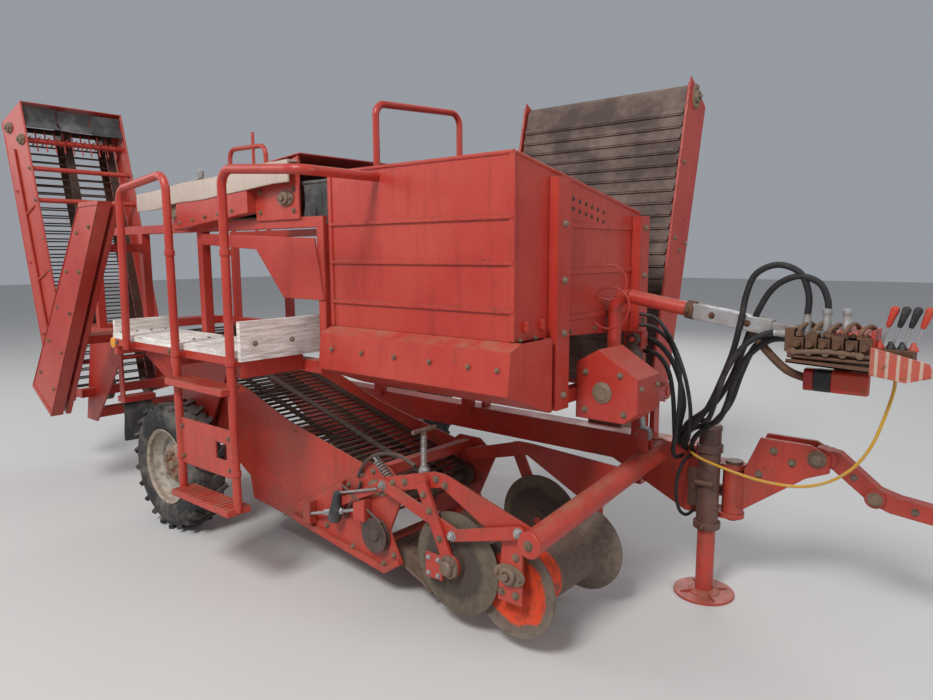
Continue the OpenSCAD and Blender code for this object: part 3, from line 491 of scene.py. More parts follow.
def wood(name):
    """Grey planks: the fibre runs along X, or along Y on the faces that look along X."""
    n = Nodes(name)
    across = n.step(n.math("ABSOLUTE", n.part_of(n.normal(), "X"), 0), 0.4, 0.6)
    along_x, along_y = (n.noise(7, 6, 0.65, stretch) for stretch in ((1.2, 14, 14), (14, 1.2, 14)))
    fibre = n.math("ADD", n.times(along_y, across), n.times(along_x, n.math("SUBTRACT", 1, across)))
    colour = n.mix(n.step(fibre, 0.34, 0.66), (0.52, 0.46, 0.41, 1), (0.97, 0.93, 0.87, 1))
    colour = n.mix(n.times(n.step(n.noise(2.5), 0.5, 0.72), 0.6), colour, (0.2, 0.15, 0.12, 1))
    n.bump(fibre, 0.6, 0.003)
    return n.finish(colour, n.between(fibre, 0.75, 0.95))


def striped(name):
    """Red plate with worn pale bars between its levers."""
    n = Nodes(name)
    bars = n.step(n.bars(9.5, 0.6), 0.72, 0.86)
    grain = n.noise(45, 6, 0.7)
    colour = n.mix(n.step(n.noise(6), 0.4, 0.6), (0.46, 0.075, 0.045, 1), (0.4, 0.13, 0.09, 1))
    colour = n.mix(n.times(bars, 0.8), colour, (0.5, 0.42, 0.33, 1))
    colour = n.mix(n.times(n.step(grain, 0.58, 0.68), 0.8), colour, RUST_WARM)
    n.bump(grain, 0.3, 0.0015)
    return n.finish(colour, n.between(grain, 0.45, 0.85))


# The wheels' axle
AXLE_X, AXLE_Z = -0.75, 0.38

MATERIALS = {
    "red_paint": paint("red_paint", (0.43, 0.032, 0.02, 1), (0.49, 0.058, 0.036, 1), 0.61, 0.95),
    "dark_paint": paint("dark_paint", (0.05, 0.035, 0.03, 1), (0.09, 0.06, 0.05, 1), 0.6, 0.5),
    "rim_paint": paint("rim_paint", (0.5, 0.49, 0.46, 1), (0.38, 0.36, 0.33, 1), 0.56, 0.9, 0.6, 0.4),
    "tyre": rubber("tyre", (0.022, 0.021, 0.021, 1), (0.17, 0.15, 0.13, 1), 0.45),
    "worn_steel": worn_steel("worn_steel", (0.2, 0.17, 0.14, 1), (0.27, 0.19, 0.13, 1), 0.5),
    "web_steel": worn_steel("web_steel", (0.035, 0.03, 0.028, 1), (0.09, 0.06, 0.045, 1), 0.3),
    "bright_steel": worn_steel("bright_steel", (0.48, 0.49, 0.5, 1), (0.3, 0.27, 0.24, 1), 0.15,
                               (0.36, 0.35, 0.34, 1), 0.6),
    "belt_rubber": rubber("belt_rubber", (0.085, 0.055, 0.045, 1), (0.2, 0.14, 0.115, 1), 0.6),
    "wood": wood("wood"),
}
# Finishes of single pieces and nodes
BRIGHT = MATERIALS["bright_steel"]
HOSE = rubber("hose_rubber", (0.012, 0.012, 0.013, 1), (0.075, 0.065, 0.058, 1), 0.3, 0.4)
CABLE = plastic("cable_yellow", (0.62, 0.34, 0.03, 1), (0.48, 0.33, 0.14, 1))
DISC = turned("disc_steel", 1.325, 0.315, (
    (0.05, (0.1, 0.06, 0.045, 1)), (0.12, (0.085, 0.062, 0.052, 1)),
    (0.165, (0.075, 0.056, 0.046, 1)), (0.19, (0.15, 0.115, 0.08, 1))))
ROLLER = turned("roller_steel", 1.625, 0.275, (
    (0.04, (0.12, 0.08, 0.06, 1)), (0.15, (0.15, 0.105, 0.08, 1)),
    (0.205, (0.19, 0.145, 0.11, 1))), (0.165, -0.56))
RIM = turned("rim_steel", AXLE_X, AXLE_Z, (
    (0.06, (0.2, 0.09, 0.05, 1)), (0.11, (0.3, 0.19, 0.13, 1)),
    (0.15, (0.52, 0.5, 0.46, 1)), (0.225, (0.4, 0.33, 0.25, 1))))
CREAM = paint("cream_sheet", (0.47, 0.36, 0.29, 1), (0.53, 0.43, 0.35, 1), 0.6, 0.9, 0.4)
JACK = paint("jack_steel", (0.13, 0.035, 0.025, 1), (0.09, 0.05, 0.04, 1), 0.5, 0.8)
VALVE = worn_steel("valve_steel", (0.055, 0.035, 0.028, 1), (0.16, 0.085, 0.05, 1), 0.35,
                   (0.19, 0.075, 0.035, 1))
FLAP = rubber("flap_rubber", (0.045, 0.044, 0.045, 1), (0.17, 0.16, 0.15, 1), 0.5)
RUSTY = worn_steel("rusty_steel", (0.1, 0.05, 0.03, 1), (0.2, 0.13, 0.085, 1), 0.4,
                   (0.22, 0.085, 0.035, 1), 0.25)
KNOB_RED = plastic("knob_red", (0.52, 0.045, 0.02, 1), (0.36, 0.09, 0.05, 1))
KNOB_BLACK = plastic("knob_black", (0.015, 0.015, 0.017, 1), (0.07, 0.065, 0.06, 1))
AMBER = plastic("amber_lens", (0.75, 0.3, 0.02, 1), (0.6, 0.34, 0.12, 1), 0.12)
LENS = plastic("red_lens", (0.36, 0.01, 0.008, 1), (0.22, 0.03, 0.02, 1), 0.12)
STRIPES = striped("striped_plate")
NODE_FINISH = {
    "coulter_right": DISC, "coulter_left": DISC, "diabolo_roller": ROLLER, "rim_right": RIM, "rim_left": RIM,
    "jack_tube": JACK, "valve_bank": VALVE,
}


def dress_nodes():
    """Every CAD node takes the finish of its slot in the record, or its own."""
    for part in frame["record"]["subparts"]:
        mesh = frame["nodes"][part["node"]].data
        mesh.materials.clear()
        mesh.materials.append(NODE_FINISH.get(part["node"], MATERIALS[part["material_slot"]]))


dress_nodes()
for cord_piece in cords:
    cord_piece.data.materials.append(CABLE if cord_piece.name == "signal_cable" else HOSE)


# Ways along the axes
RIGHT = (0, -1, 0)
FRONT = (1, 0, 0)
BACK = (-1, 0, 0)
UP = (0, 0, 1)


def circle(x, z, r, angles):
    """Points (x, z) round an axle that lies along Y."""
    return [(x + r * math.cos(t), z + r * math.sin(t)) for t in angles]


# Valve bank at the arm's end: the first lever's foot, and the step to the next
LEVER_X, LEVER_Y, LEVER_STEP = 2.752, -0.102, 0.034


def make_valve_block():
    s = Shape()
    s.slab(((2.47, -0.202, 1.226), (2.76, -0.202, 1.212), (2.76, 0, 1.212), (2.47, 0, 1.226)), (0, 0, 0.006))
    s.plate(-0.202, ((2.47, 1.226), (2.76, 1.212), (2.76, 1.232), (2.47, 1.24)), 0.004)
    for i in range(6):
        x = 2.482 + 0.044 * i
        s.block((x, -0.172, 1.236), (x + 0.038, -0.012, 1.33 if i % 2 else 1.318))
        s.bolt((x + 0.019, -0.15, 1.33), UP, 0.01)
        s.spun((x + 0.019, -0.06, 1.316), UP, ((0, 0.016), (0.026, 0.016), (0.03, 0.011), (0.04, 0.011)), 16)
        s.spun((x + 0.019, -0.17, 1.295), RIGHT, ((0, 0.014), (0.02, 0.014), (0.024, 0.01), (0.034, 0.01)), 6)
    s.block((2.452, -0.16, 1.262), (2.484, -0.022, 1.348))
    s.block((2.746, -0.15, 1.236), (2.86, -0.055, 1.292))
    s.rod((2.47, -0.184, 1.25), (2.86, -0.184, 1.243), 0.007)
    s.rod((2.47, -0.02, 1.345), (2.74, -0.02, 1.345), 0.008)
    bank = s.done("valve_block", "worn_steel", look=VALVE, bevel=0.003)
    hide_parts("valve_bank")


def make_hose_fittings():
    """Unions where the hoses leave the bank, and the levers' rods."""
    s = Shape()
    for at, way in (((2.516, -0.12, 1.322), UP), ((2.582, -0.12, 1.322), UP), ((2.648, -0.12, 1.322), UP),
                    ((2.484, -0.048, 1.325), BACK), ((2.484, -0.132, 1.325), BACK)):
        s.spun(at, way, ((0, 0.019), (0.018, 0.019)), 6)
        s.spun(at, way, ((0.016, 0.0155), (0.055, 0.0155), (0.06, 0.0135), (0.078, 0.0135)), 16)
    for x in (2.582, 2.648):
        s.spun((x, -0.12, 1.4), UP, ((0, 0.0135), (0.006, 0.017), (0.02, 0.017), (0.026, 0.01)), 16)
    for i in range(4):
        x = LEVER_X + LEVER_STEP * i
        s.rod((x, LEVER_Y, 1.285), (x + 0.026, LEVER_Y, 1.388), 0.005)
    s.done("hose_fittings", "worn_steel", look=BRIGHT)


def make_levers():
    for name, look, ranks in (("red", KNOB_RED, (0, 3)), ("black", KNOB_BLACK, (1, 2))):
        s = Shape()
        for i in ranks:
            x = LEVER_X + LEVER_STEP * i
            s.spun((x, LEVER_Y, 1.288), UP, ((0, 0.017), (0.01, 0.015), (0.018, 0.011), (0.03, 0.007)), 16)
            s.spun((x + 0.021, LEVER_Y, 1.368), (0.035, 0, 0.12), (
                (0, 0.007), (0.008, 0.0095), (0.045, 0.0125), (0.062, 0.0145), (0.071, 0.012),
                (0.075, 0.006)), 18)
        s.done("lever_knobs_" + name, "red_paint", look=look)
    s = Shape()
    s.plate(-0.206, ((2.742, 1.305), (2.915, 1.262), (2.93, 1.222), (2.85, 1.196), (2.742, 1.212)), 0.006)
    s.slab(((2.742, -0.206, 1.212), (2.85, -0.206, 1.196), (2.93, -0.206, 1.222), (2.93, -0.02, 1.222),
            (2.85, -0.02, 1.196), (2.742, -0.02, 1.212)), (0, 0, -0.005))
    s.done("lever_plate", "red_paint", look=STRIPES, bevel=0.002)


def make_lamp():
    side = ((-0.088, 1.118), (-0.088, 1.182), (-0.078, 1.192), (-0.04, 1.192), (-0.04, 1.108),
            (-0.078, 1.108))
    for name, low, high, look in (("lamp_end", 2.505, 2.54, LENS), ("lamp_body", 2.54, 2.6, KNOB_BLACK),
                                  ("lamp_lens", 2.6, 2.722, KNOB_RED)):
        s = Shape()
        s.slab([(low, y, z) for y, z in side], (high - low, 0, 0))
        s.done(name, "red_paint", look=look, bevel=0.004)
    s = Shape()
    s.plate(-0.05, ((2.6, 1.15), (2.66, 1.15), (2.66, 1.225), (2.6, 1.225)), 0.012)
    s.tube(smooth(((2520, -60, 1150), (2440, -60, 1175), (2360, -70, 1250), (2300, -85, 1330))), 0.016, 12)
    s.done("lamp_bracket", "red_paint", look=VALVE, bevel=0.002)


def make_arm_end():
    """Square bar that carries the bank over the arm's end, and its clamp."""
    s = Shape()
    for a, b, half in (((2.08, -0.09, 1.3895), (2.39, -0.09, 1.3385), 0.031),
                       ((2.385, -0.09, 1.339), (2.6, -0.09, 1.306), 0.0225)):
        s.slab([Vector(a) + Vector((0, y, z)) * half for y, z in ((-1, -1), (1, -1), (1, 1), (-1, 1))],
               Vector(b) - Vector(a))
    s.done("arm_bar", "worn_steel", look=BRIGHT, bevel=0.003)
    s = Shape()
    s.spun((2.075, -0.09, 1.3903), (0.987, 0, -0.163), (
        (-0.03, 0.0325), (-0.028, 0.038), (0.006, 0.038), (0.008, 0.0325)), 28)
    s.bolt((2.06, -0.127, 1.393), RIGHT, 0.01)
    s.side_bolts(-0.121, ((2.16, 1.376), (2.3, 1.353)), 0.01)
    s.done("arm_clamp", "red_paint", look=VALVE)


def make_valve_pipes():
    """Pipes over the valve sections with their unions, the bank's cover, and wire on the bunker's front."""
    s = Shape()
    for k in range(5):
        x = 2500 + 50 * k
        s.tube(smooth(((x, -150, 1322), (x + 4, -158, 1352), (x + 22, -120, 1368 + 5 * (k % 2)),
                       (x + 30, -70, 1356), (x + 34, -52, 1326))), 0.0075)
        s.spun((x / 1000, -0.15, 1.322), UP, ((0, 0.014), (0.014, 0.014)), 6)
        s.spun((x / 1000 + 0.034, -0.052, 1.322), UP, ((0, 0.013), (0.013, 0.013)), 6)
    s.tube(smooth(((2470, -172, 1262), (2520, -192, 1268), (2600, -194, 1276), (2690, -190, 1272),
                   (2735, -170, 1262))), 0.009)
    for x in (2.492, 2.545, 2.6, 2.655, 2.71):
        s.spun((x, -0.178, 1.268), RIGHT, ((0, 0.013), (0.018, 0.013), (0.02, 0.009)), 8)
    s.done("valve_pipes", "worn_steel", look=RUSTY)
    s = Shape()
    s.slab(((2.62, -0.15, 1.334), (2.735, -0.15, 1.33), (2.735, -0.03, 1.346), (2.62, -0.03, 1.35)),
           (0, 0, 0.01))
    s.block((2.735, -0.16, 1.236), (2.745, -0.03, 1.356))
    s.done("valve_cover", "red_paint", bevel=0.002)
    s = Shape()
    s.ring((1.722, -0.165, 1.5), (0.3, -1, 0.1), 0.075, 0.0035)
    s.ring((1.735, -0.18, 1.39), (0.1, -1, 0.2), 0.09, 0.0035)
    s.done("wire_rings", "red_paint")


# Pick-up: the outer faces of its right wall and of its side bar, and the coulters' axle
WALL_Y = -0.718
BAR_Y = -0.77
COULTER_X, COULTER_Z = 1.345, 0.315


def make_digger_links():
    """Bolts of the digger, link bars with round ends outside its side bar, and plates on its face."""
    s = Shape()
    s.side_bolts(WALL_Y, ((0.62, 0.5), (0.72, 0.575), (0.8, 0.605), (0.24, 0.262), (0.44, 0.245),
                          (0.64, 0.185), (0.86, 0.16), (0.93, 0.22)))
    s.side_bolts(BAR_Y, ((0.985, 0.6), (1.06, 0.62), (1.25, 0.672), (1.3, 0.655), (1.63, 0.52),
                         (1.67, 0.44), (1.6, 0.28), (1.67, 0.28)), 0.013)
    s.bearing((1.64, BAR_Y, 0.36), RIGHT, 0.048)
    s.bearing((0.83, WALL_Y, 0.53), RIGHT, 0.042)
    s.bolt((1.757, -0.811, 0.526), RIGHT, 0.016)
    s.done("digger_bolts", "worn_steel", "pick_up")
    s = Shape()
    for (x0, z0), (x1, z1), y, half in (((0.93, 0.58), (1.36, 0.455), BAR_Y, 0.028),
                                        ((1.36, 0.455), (1.7, 0.555), -0.784, 0.026),
                                        ((0.56, 0.4), (0.93, 0.58), -0.732, 0.022)):
        way = Vector((x1 - x0, 0, z1 - z0)).normalized()
        side = Vector((-way.z, 0, way.x)) * half
        outline = []
        for end, flip in ((Vector((x0, y, z0)), -1), (Vector((x1, y, z1)), 1)):
            for k in range(9):
                t = math.radians(-90 + 22.5 * k)
                outline.append(end + way * flip * math.cos(t) * half + side * flip * math.sin(t))
        s.slab(outline, (0, -0.014, 0))
    for at, way in (((1.757, -0.8, 0.526), RIGHT), ((1.82, 0.2, 0.69), (0, 1, 0))):
        s.spun(at, way, ((-0.004, 0.05), (0.002, 0.054), (0.01, 0.054), (0.012, 0.05)), 32)
    # Flange along the lower edge, then three brackets
    s.plate(WALL_Y, ((0.17, 0.215), (0.64, 0.15), (0.88, 0.12), (0.98, 0.19), (0.965, 0.215),
                     (0.875, 0.15), (0.64, 0.18), (0.17, 0.245)), -0.022)
    s.plate(WALL_Y, ((0.3, 0.33), (0.36, 0.36), (0.36, 0.24), (0.3, 0.25)), -0.05)
    s.plate(WALL_Y, ((0.7, 0.44), (0.78, 0.47), (0.78, 0.36), (0.7, 0.35)), -0.05)
    s.plate(WALL_Y, ((0.5, 0.47), (0.6, 0.52), (0.6, 0.42), (0.53, 0.38)), -0.03)
    s.done("digger_links", "red_paint", "pick_up", bevel=0.002)


def make_turnbuckle():
    """Turnbuckle and its rods, the links' bolts, a tension spring and the depth spindle's thread."""
    s = Shape()
    s.bolts(((0.93, -0.784, 0.58), (1.36, -0.798, 0.455), (1.7, -0.798, 0.555), (0.56, -0.746, 0.4)),
            RIGHT, 0.017)
    rear, middle, front = (Vector((x, -0.755, z)) for x, z in ((0.33, 0.29), (0.55, 0.36), (0.74, 0.41)))
    s.rod(rear, front, 0.008)
    s.rod(rear + (front - rear) * 0.34, rear + (front - rear) * 0.68, 0.017, 6)
    s.rod(middle + Vector((0, 0, 0.09)), front + Vector((0.12, 0, 0.13)), 0.006)
    turns, steps = 8, 96
    coil = []
    for k in range(steps + 1):
        t = math.tau * turns * k / steps
        coil.append((0.845 + 0.1 * k / steps + 0.0108 * math.cos(t), -0.742 + 0.018 * math.sin(t),
                     0.672 - 0.075 * k / steps + 0.0144 * math.cos(t)))
    s.tube(coil, 0.0035, 8)
    s.rod((0.83, -0.742, 0.683), (0.86, -0.742, 0.661), 0.006)
    s.rod((0.935, -0.742, 0.604), (0.965, -0.742, 0.582), 0.006)
    s.spun((1.15, -0.74, 0.655), UP, ((0, 0.024), (0.035, 0.024), (0.04, 0.018), (0.05, 0.018)), 6)
    for k in range(16):
        s.spun((1.15, -0.74, 0.7 + k * 0.009), UP, ((0, 0.0128), (0.0025, 0.015), (0.005, 0.0128)), 16)
    s.done("turnbuckle", "worn_steel", "pick_up", BRIGHT)


def make_belt_pulley():
    """Grooved pulley, a rod and two hoses on the digger's face, and the rubber boot of its shaft."""
    s = Shape()
    s.spun((0.823, WALL_Y, 0.299), RIGHT, (
        (0, 0.02), (0.004, 0.078), (0.006, 0.085), (0.012, 0.085), (0.016, 0.07), (0.022, 0.07),
        (0.026, 0.085), (0.033, 0.085), (0.034, 0.074), (0.026, 0.06), (0.024, 0.03), (0.034, 0.026),
        (0.036, 0.014)), 40)
    s.rod((0.6, -0.745, 0.5), (0.87, -0.745, 0.37), 0.007)
    s.tube(smooth(((700, -730, 560), (760, -738, 640), (850, -738, 700), (980, -735, 720),
                   (1090, -735, 690))), 0.009)
    s.tube(smooth(((600, -730, 330), (640, -738, 400), (700, -738, 480), (720, -732, 540))), 0.008)
    s.done("belt_pulley", "web_steel", "pick_up", MATERIALS["dark_paint"])
    s = Shape()
    s.spun((0.585, -0.765, 0.47), (-0.03, 0, -0.16), (
        (0, 0.012), (0.01, 0.02), (0.05, 0.022), (0.1, 0.03), (0.145, 0.034), (0.16, 0.028),
        (0.165, 0.012)))
    s.plate(-0.694, ((0.17, 0.3), (0.19, 0.31), (0.06, 0.2), (0.04, 0.19)), -0.01)
    s.done("rubber_cap", "belt_rubber", "pick_up", FLAP)


def make_coulter_fittings():
    """Hub caps, scraper blocks and their bolts on the coulters' forks."""
    for name, side, y in (("right", -1, -0.799), ("left", 1, -0.081)):
        s = Shape()
        s.spun((COULTER_X, y - side * 0.002, COULTER_Z), (0, side, 0), (
            (0, 0.05), (0.012, 0.048), (0.016, 0.034), (0.03, 0.032), (0.036, 0.026), (0.037, 0.012)), 32)
        s.side_bolts(y + side * 0.012, circle(COULTER_X, COULTER_Z, 0.04, (0.6, 2.2, 3.8, 5.3)), 0.007, side)
        s.side_bolts(y, ((1.2, 0.6), (1.235, 0.535), (1.29, 0.425)), 0.012, side)
        s.done("coulter_hub_" + name, "worn_steel", "pick_up")
        s = Shape()
        inner = y - side * 0.016
        s.plate(inner, ((1.205, 0.345), (1.3, 0.345), (1.3, 0.235), (1.205, 0.235)), side * 0.014)
        s.plate(inner, ((1.3, 0.345), (1.345, 0.36), (1.345, 0.3), (1.3, 0.3)), side * 0.012)
        s.done("scraper_" + name, "red_paint", "pick_up", bevel=0.002)
        s = Shape()
        places = [(x, z) for x in (1.225, 1.28) for z in (0.255, 0.325)]
        s.side_bolts(inner + side * 0.014, places, 0.009, side)
        s.done("scraper_bolts_" + name, "worn_steel", "pick_up", BRIGHT)


def make_wheel_fittings():
    """Nuts, tyre valve and hub cap."""
    for name, side, face, outside in (("right", -1, -0.92, -0.973), ("left", 1, 1.18, 1.233)):
        s = Shape()
        nuts = circle(AXLE_X, AXLE_Z, 0.07, [t + 0.3 for t in full_turn(5)])
        s.side_bolts(face, nuts, 0.012, side)
        valve_end = (AXLE_X + 0.16, outside - side * 0.03, AXLE_Z + 0.03)
        s.rod((AXLE_X + 0.155, face, AXLE_Z + 0.02), valve_end, 0.004)
        s.done("wheel_nuts_" + name, "rim_paint", "wheel_" + name, MATERIALS["worn_steel"])
    s = Shape()
    for y, side in ((-0.914, -1), (1.174, 1)):
        s.spun((AXLE_X, y, AXLE_Z), (0, side, 0), (
            (0, 0.03), (0.012, 0.029), (0.017, 0.024), (0.018, 0.012)), 28)
    s.done("hub_caps", "worn_steel")


def make_bunker_trim():
    """Rolled rims, rivets, overlap strips, hook lugs, bolts, and thin dark discs of painted shade standing in
    for the vent holes.
    """
    s = Shape()
    s.tube([(0.632, -0.797, 1.99), (1.671, -0.797, 1.99)], 0.009)
    s.tube([(1.671, -0.797, 1.99), (1.671, -0.3, 1.901), (1.671, 0.207, 1.81)], 0.009)
    for z in (1.41, 1.59, 1.76):
        s.rivets([(0.68 + 0.105 * i, -0.808, z) for i in range(10)], RIGHT, 0.0045)
    s.block((1.655, -0.806, 1.297), (1.681, -0.798, 1.985))
    s.block((0.628, -0.806, 1.297), (0.652, -0.798, 1.985))
    for z in (1.36, 1.55, 1.74):
        s.block((1.6735, -0.48, z - 0.012), (1.68, 0.128, z + 0.012))
    for y in (-0.74, -0.63):
        s.block((1.672, y, 1.33), (1.694, y + 0.012, 1.37))
    s.done("bunker_edges", "red_paint", bevel=0.0015)
    s = Shape()
    s.bolts([(1.72, y, z) for y in (-0.525, 0.175) for z in (1.06, 1.31, 1.52, 1.74)], FRONT)
    s.side_bolts(-0.884, [(x, 1.2) for x in (0.72, 0.92, 1.12, 1.32, 1.52, 1.66)], 0.008)
    s.bolts([(1.674, y, 1.3) for y in (-0.76, -0.66, -0.4, -0.2, 0)], FRONT, 0.008)
    s.done("bunker_bolts", "worn_steel")
    s = Shape()
    # Vent holes: thin dark discs laid on the bunker's front, painted shade in place of real holes
    hole_shade_profile = ((0, 0.01), (0.0022, 0.01), (0.0024, 0.008))
    for i in range(6):
        for z in (1.845, 1.805):
            s.spun((1.6725, -0.39 + 0.05 * i, z - i * 0.009), FRONT, hole_shade_profile, 14)
    s.done("vent_hole_shade_discs", "web_steel")
    s = Shape()
    s.side_bolts(-0.345, ((1.72, 1.13), (1.72, 0.97), (1.88, 1.13), (1.9, 0.97)), 0.011)
    s.bolts([(1.962, y, 1.08) for y in (-0.32, -0.17)], FRONT, 0.01)
    s.spun((1.8, -0.345, 1.05), RIGHT, ((-0.002, 0.045), (0.005, 0.045), (0.007, 0.035), (0.012, 0.03)), 28)
    s.done("guard_bolts", "worn_steel")


# Jack: its axis
JACK_X, JACK_Y = 2.03, 0.28


def make_jack_fittings():
    """Collars, cap and handle of the tube, and the foot's boss and low ribs, which clear the raised tube."""
    s = Shape()
    s.hoop((JACK_X, JACK_Y, 0.33), UP, ((0, 0.0502), (0.002, 0.062), (0.03, 0.062), (0.034, 0.0502)))
    s.hoop((JACK_X, JACK_Y, 0.7), UP, ((0, 0.0502), (0.003, 0.06), (0.035, 0.06), (0.04, 0.0502)))
    s.spun((JACK_X, JACK_Y, 0.808), UP, (
        (0, 0.054), (0.014, 0.054), (0.024, 0.046), (0.026, 0.02), (0.04, 0.018)), 32)
    s.bolt((JACK_X, 0.219, 0.345), RIGHT)
    s.rod((1.985, 0.22, 0.56), (2.075, 0.22, 0.56), 0.012)
    s.ring((1.985, 0.22, 0.535), FRONT, 0.022, 0.003, 20, 6)
    s.done("jack_collars", "dark_paint", look=JACK)
    s = Shape()
    foot = Vector((JACK_X, JACK_Y, 0.01))
    s.spun(foot, UP, ((-0.002, 0.075), (0.003, 0.072), (0.01, 0.05), (0.013, 0.0415)), 36)
    low, high = Vector((0, 0, 0.005)), Vector((0, 0, 0.013))
    for t in full_turn(4):
        out = Vector((math.cos(t + math.pi / 4), math.sin(t + math.pi / 4), 0))
        a, b = foot + out * 0.043, foot + out * 0.115
        across = Vector((-out.y, out.x, 0)) * 0.004
        s.slab((a - across, b - across, b - across + low, a - across + high), across * 2)
    s.done("jack_foot_ribs", "red_paint", "jack_leg")


def make_drawbar_bolts():
    s = Shape()
    for y, side in ((0.33, -1), (0.45, 1)):
        s.spun((2.48, y, 0.735), (0, side, 0), (
            (-0.002, 0.038), (0.008, 0.038), (0.01, 0.026), (0.024, 0.024), (0.028, 0.018)), 28)
        s.side_bolts(y, ((2.24, 0.62), (2.3, 0.74), (2.38, 0.7)), 0.014, side)
    s.done("drawbar_bolts", "worn_steel", "drawbar")
    s = Shape()
    for y, side in ((0.35, -1), (0.43, 1)):
        s.spun((2.705, y, 0.6), (0, side, 0), (
            (-0.002, 0.03), (0.006, 0.03), (0.008, 0.022), (0.02, 0.02), (0.022, 0.012)), 28)
        s.side_bolts(y - side * 0.01, ((2.62, 0.675), (2.85, 0.575)), 0.012, side)
    s.done("hitch_bolts", "worn_steel", "drawbar")


# Rear elevator: the front edge of its foot, and its lean
REAR_X, REAR_Z = -2.17, 0.58
REAR_LEAN = math.atan2(0.56, 2.18)


def at_rear(lx, y, lz):
    """The point lx across the frame and lz up its slope."""
    return Vector((REAR_X + lx * math.cos(REAR_LEAN) - lz * math.sin(REAR_LEAN), y,
                   REAR_Z + lx * math.sin(REAR_LEAN) + lz * math.cos(REAR_LEAN)))


def make_rear_fittings():
    """Bearings, bolts, edge flanges and stiffeners of the elevator's two walls."""
    s = Shape()
    for y, side in ((-0.9, -1), (-0.17, 1)):
        way = (0, side, 0)
        for lx, lz in ((-0.2875, 0.06), (-0.2875, 2.14), (-0.095, 1.98)):
            s.bearing(at_rear(lx, y, lz), way, 0.045)
        s.bolts([at_rear(lx, y, lz) for lx, lz in ((-0.03, 1.5), (-0.03, 1.74), (-0.28, 0.3))], way, 0.014)
        s.bolts([at_rear(-0.03, y, 0.25 + 0.24 * i) for i in range(5)], way, 0.008)
    s.done("rear_bearings", "worn_steel")
    s = Shape()
    for y in (-0.8995, -0.1785):
        for lx in (-0.006, -0.414):
            s.edge(at_rear(lx, y, 0.02), at_rear(lx, y, 2.22), 0.004, 0.008)
    for lz in (0.45, 0.95, 1.45):
        s.tube([at_rear(-0.3, -0.904, lz), at_rear(-0.08, -0.904, lz + 0.02)], 0.009, 8)
    s.done("rear_flanges", "red_paint")


def make_hood_flaps():
    """Three rubber strips that hang over the elevator's top, and the chain guard on its outer side."""
    s = Shape()
    back = at_rear(-0.018, 0, 0) - at_rear(-0.012, 0, 0)
    for k in range(3):
        y = -0.888 + 0.238 * k
        rings = []
        for j in range(9):
            drop = j / 8
            bend = 0.03 * math.sin(drop * math.pi) + 0.012 * math.sin(5 * drop + k)
            a = at_rear(-0.012 - bend, y, 2.205 - 0.16 * drop)
            b = at_rear(-0.012 - bend + 0.008 * math.sin(7 * drop + k), y + 0.228, 2.205 - 0.16 * drop)
            rings.append([a, b, b + back, a + back])
        s.loft(rings)
    s.done("hood_flaps", "belt_rubber", look=FLAP)
    s = Shape()
    cover = ((-0.36, 0.42), (-0.36, 1.96), (-0.24, 1.96), (-0.24, 0.42))
    s.slab([at_rear(lx, -0.905, lz) for lx, lz in cover], (0, -0.012, 0))
    s.bolts([at_rear(-0.3, -0.917, lz) for lz in (0.55, 1.1, 1.65)], RIGHT, 0.011)
    s.done("chain_cover", "red_paint", bevel=0.002)


def make_mud_flap():
    """Flap behind the right wheel, and its bracket."""
    s = Shape()
    rings = []
    for j in range(7):
        x, z = -1.62 + 0.012 * math.sin(j * 0.9), 0.62 - 0.045 * j
        rings.append([(x, -0.8, z), (x, -0.6, z - 0.01), (x - 0.009, -0.6, z - 0.01), (x - 0.009, -0.8, z)])
    s.loft(rings)
    s.done("mud_flap", "belt_rubber", look=FLAP)
    s = Shape()
    s.plate(-0.8, ((-1.7, 0.62), (-1.6, 0.62), (-1.6, 0.66), (-1.7, 0.66)), 0.22)
    s.plate(-0.8, ((-1.66, 0.66), (-1.6, 0.66), (-1.6, 1.07), (-1.66, 1.07)), 0.012)
    s.done("flap_bracket", "red_paint", bevel=0.002)


# Web guard: its outer face, and its outline from the front top corner round to the front foot
GUARD_Y = -1.2
GUARD = ((-0.82, 1.918), (-1.08, 1.92), (-2.06, 0.744), (-1.77, 0.576))


def make_web_guard_trim():
    """Bolts along the guard's two long edges, and its folded rim."""
    corners = [Vector((x, GUARD_Y, z)) for x, z in GUARD]
    s = Shape()
    for top, foot, step, inward in ((corners[1], corners[2], 0.29, (0.05, 0, -0.03)),
                                    (corners[0], corners[3], 0.31, (-0.05, 0, 0.01))):
        way = (foot - top).normalized()
        for i in range(5):
            s.bolt(top + way * (0.18 + step * i) + Vector(inward), RIGHT, 0.01)
    s.done("web_guard_bolts", "worn_steel")
    s = Shape()
    middle = sum(corners, Vector()) / 4
    inner = [p + (middle - p).normalized() * 0.032 for p in corners]
    for k in range(4):
        j = (k + 1) % 4
        s.slab((corners[k], corners[j], inner[j], inner[k]), (0, -0.004, 0))
    s.done("web_guard_rim", "red_paint", bevel=0.001)


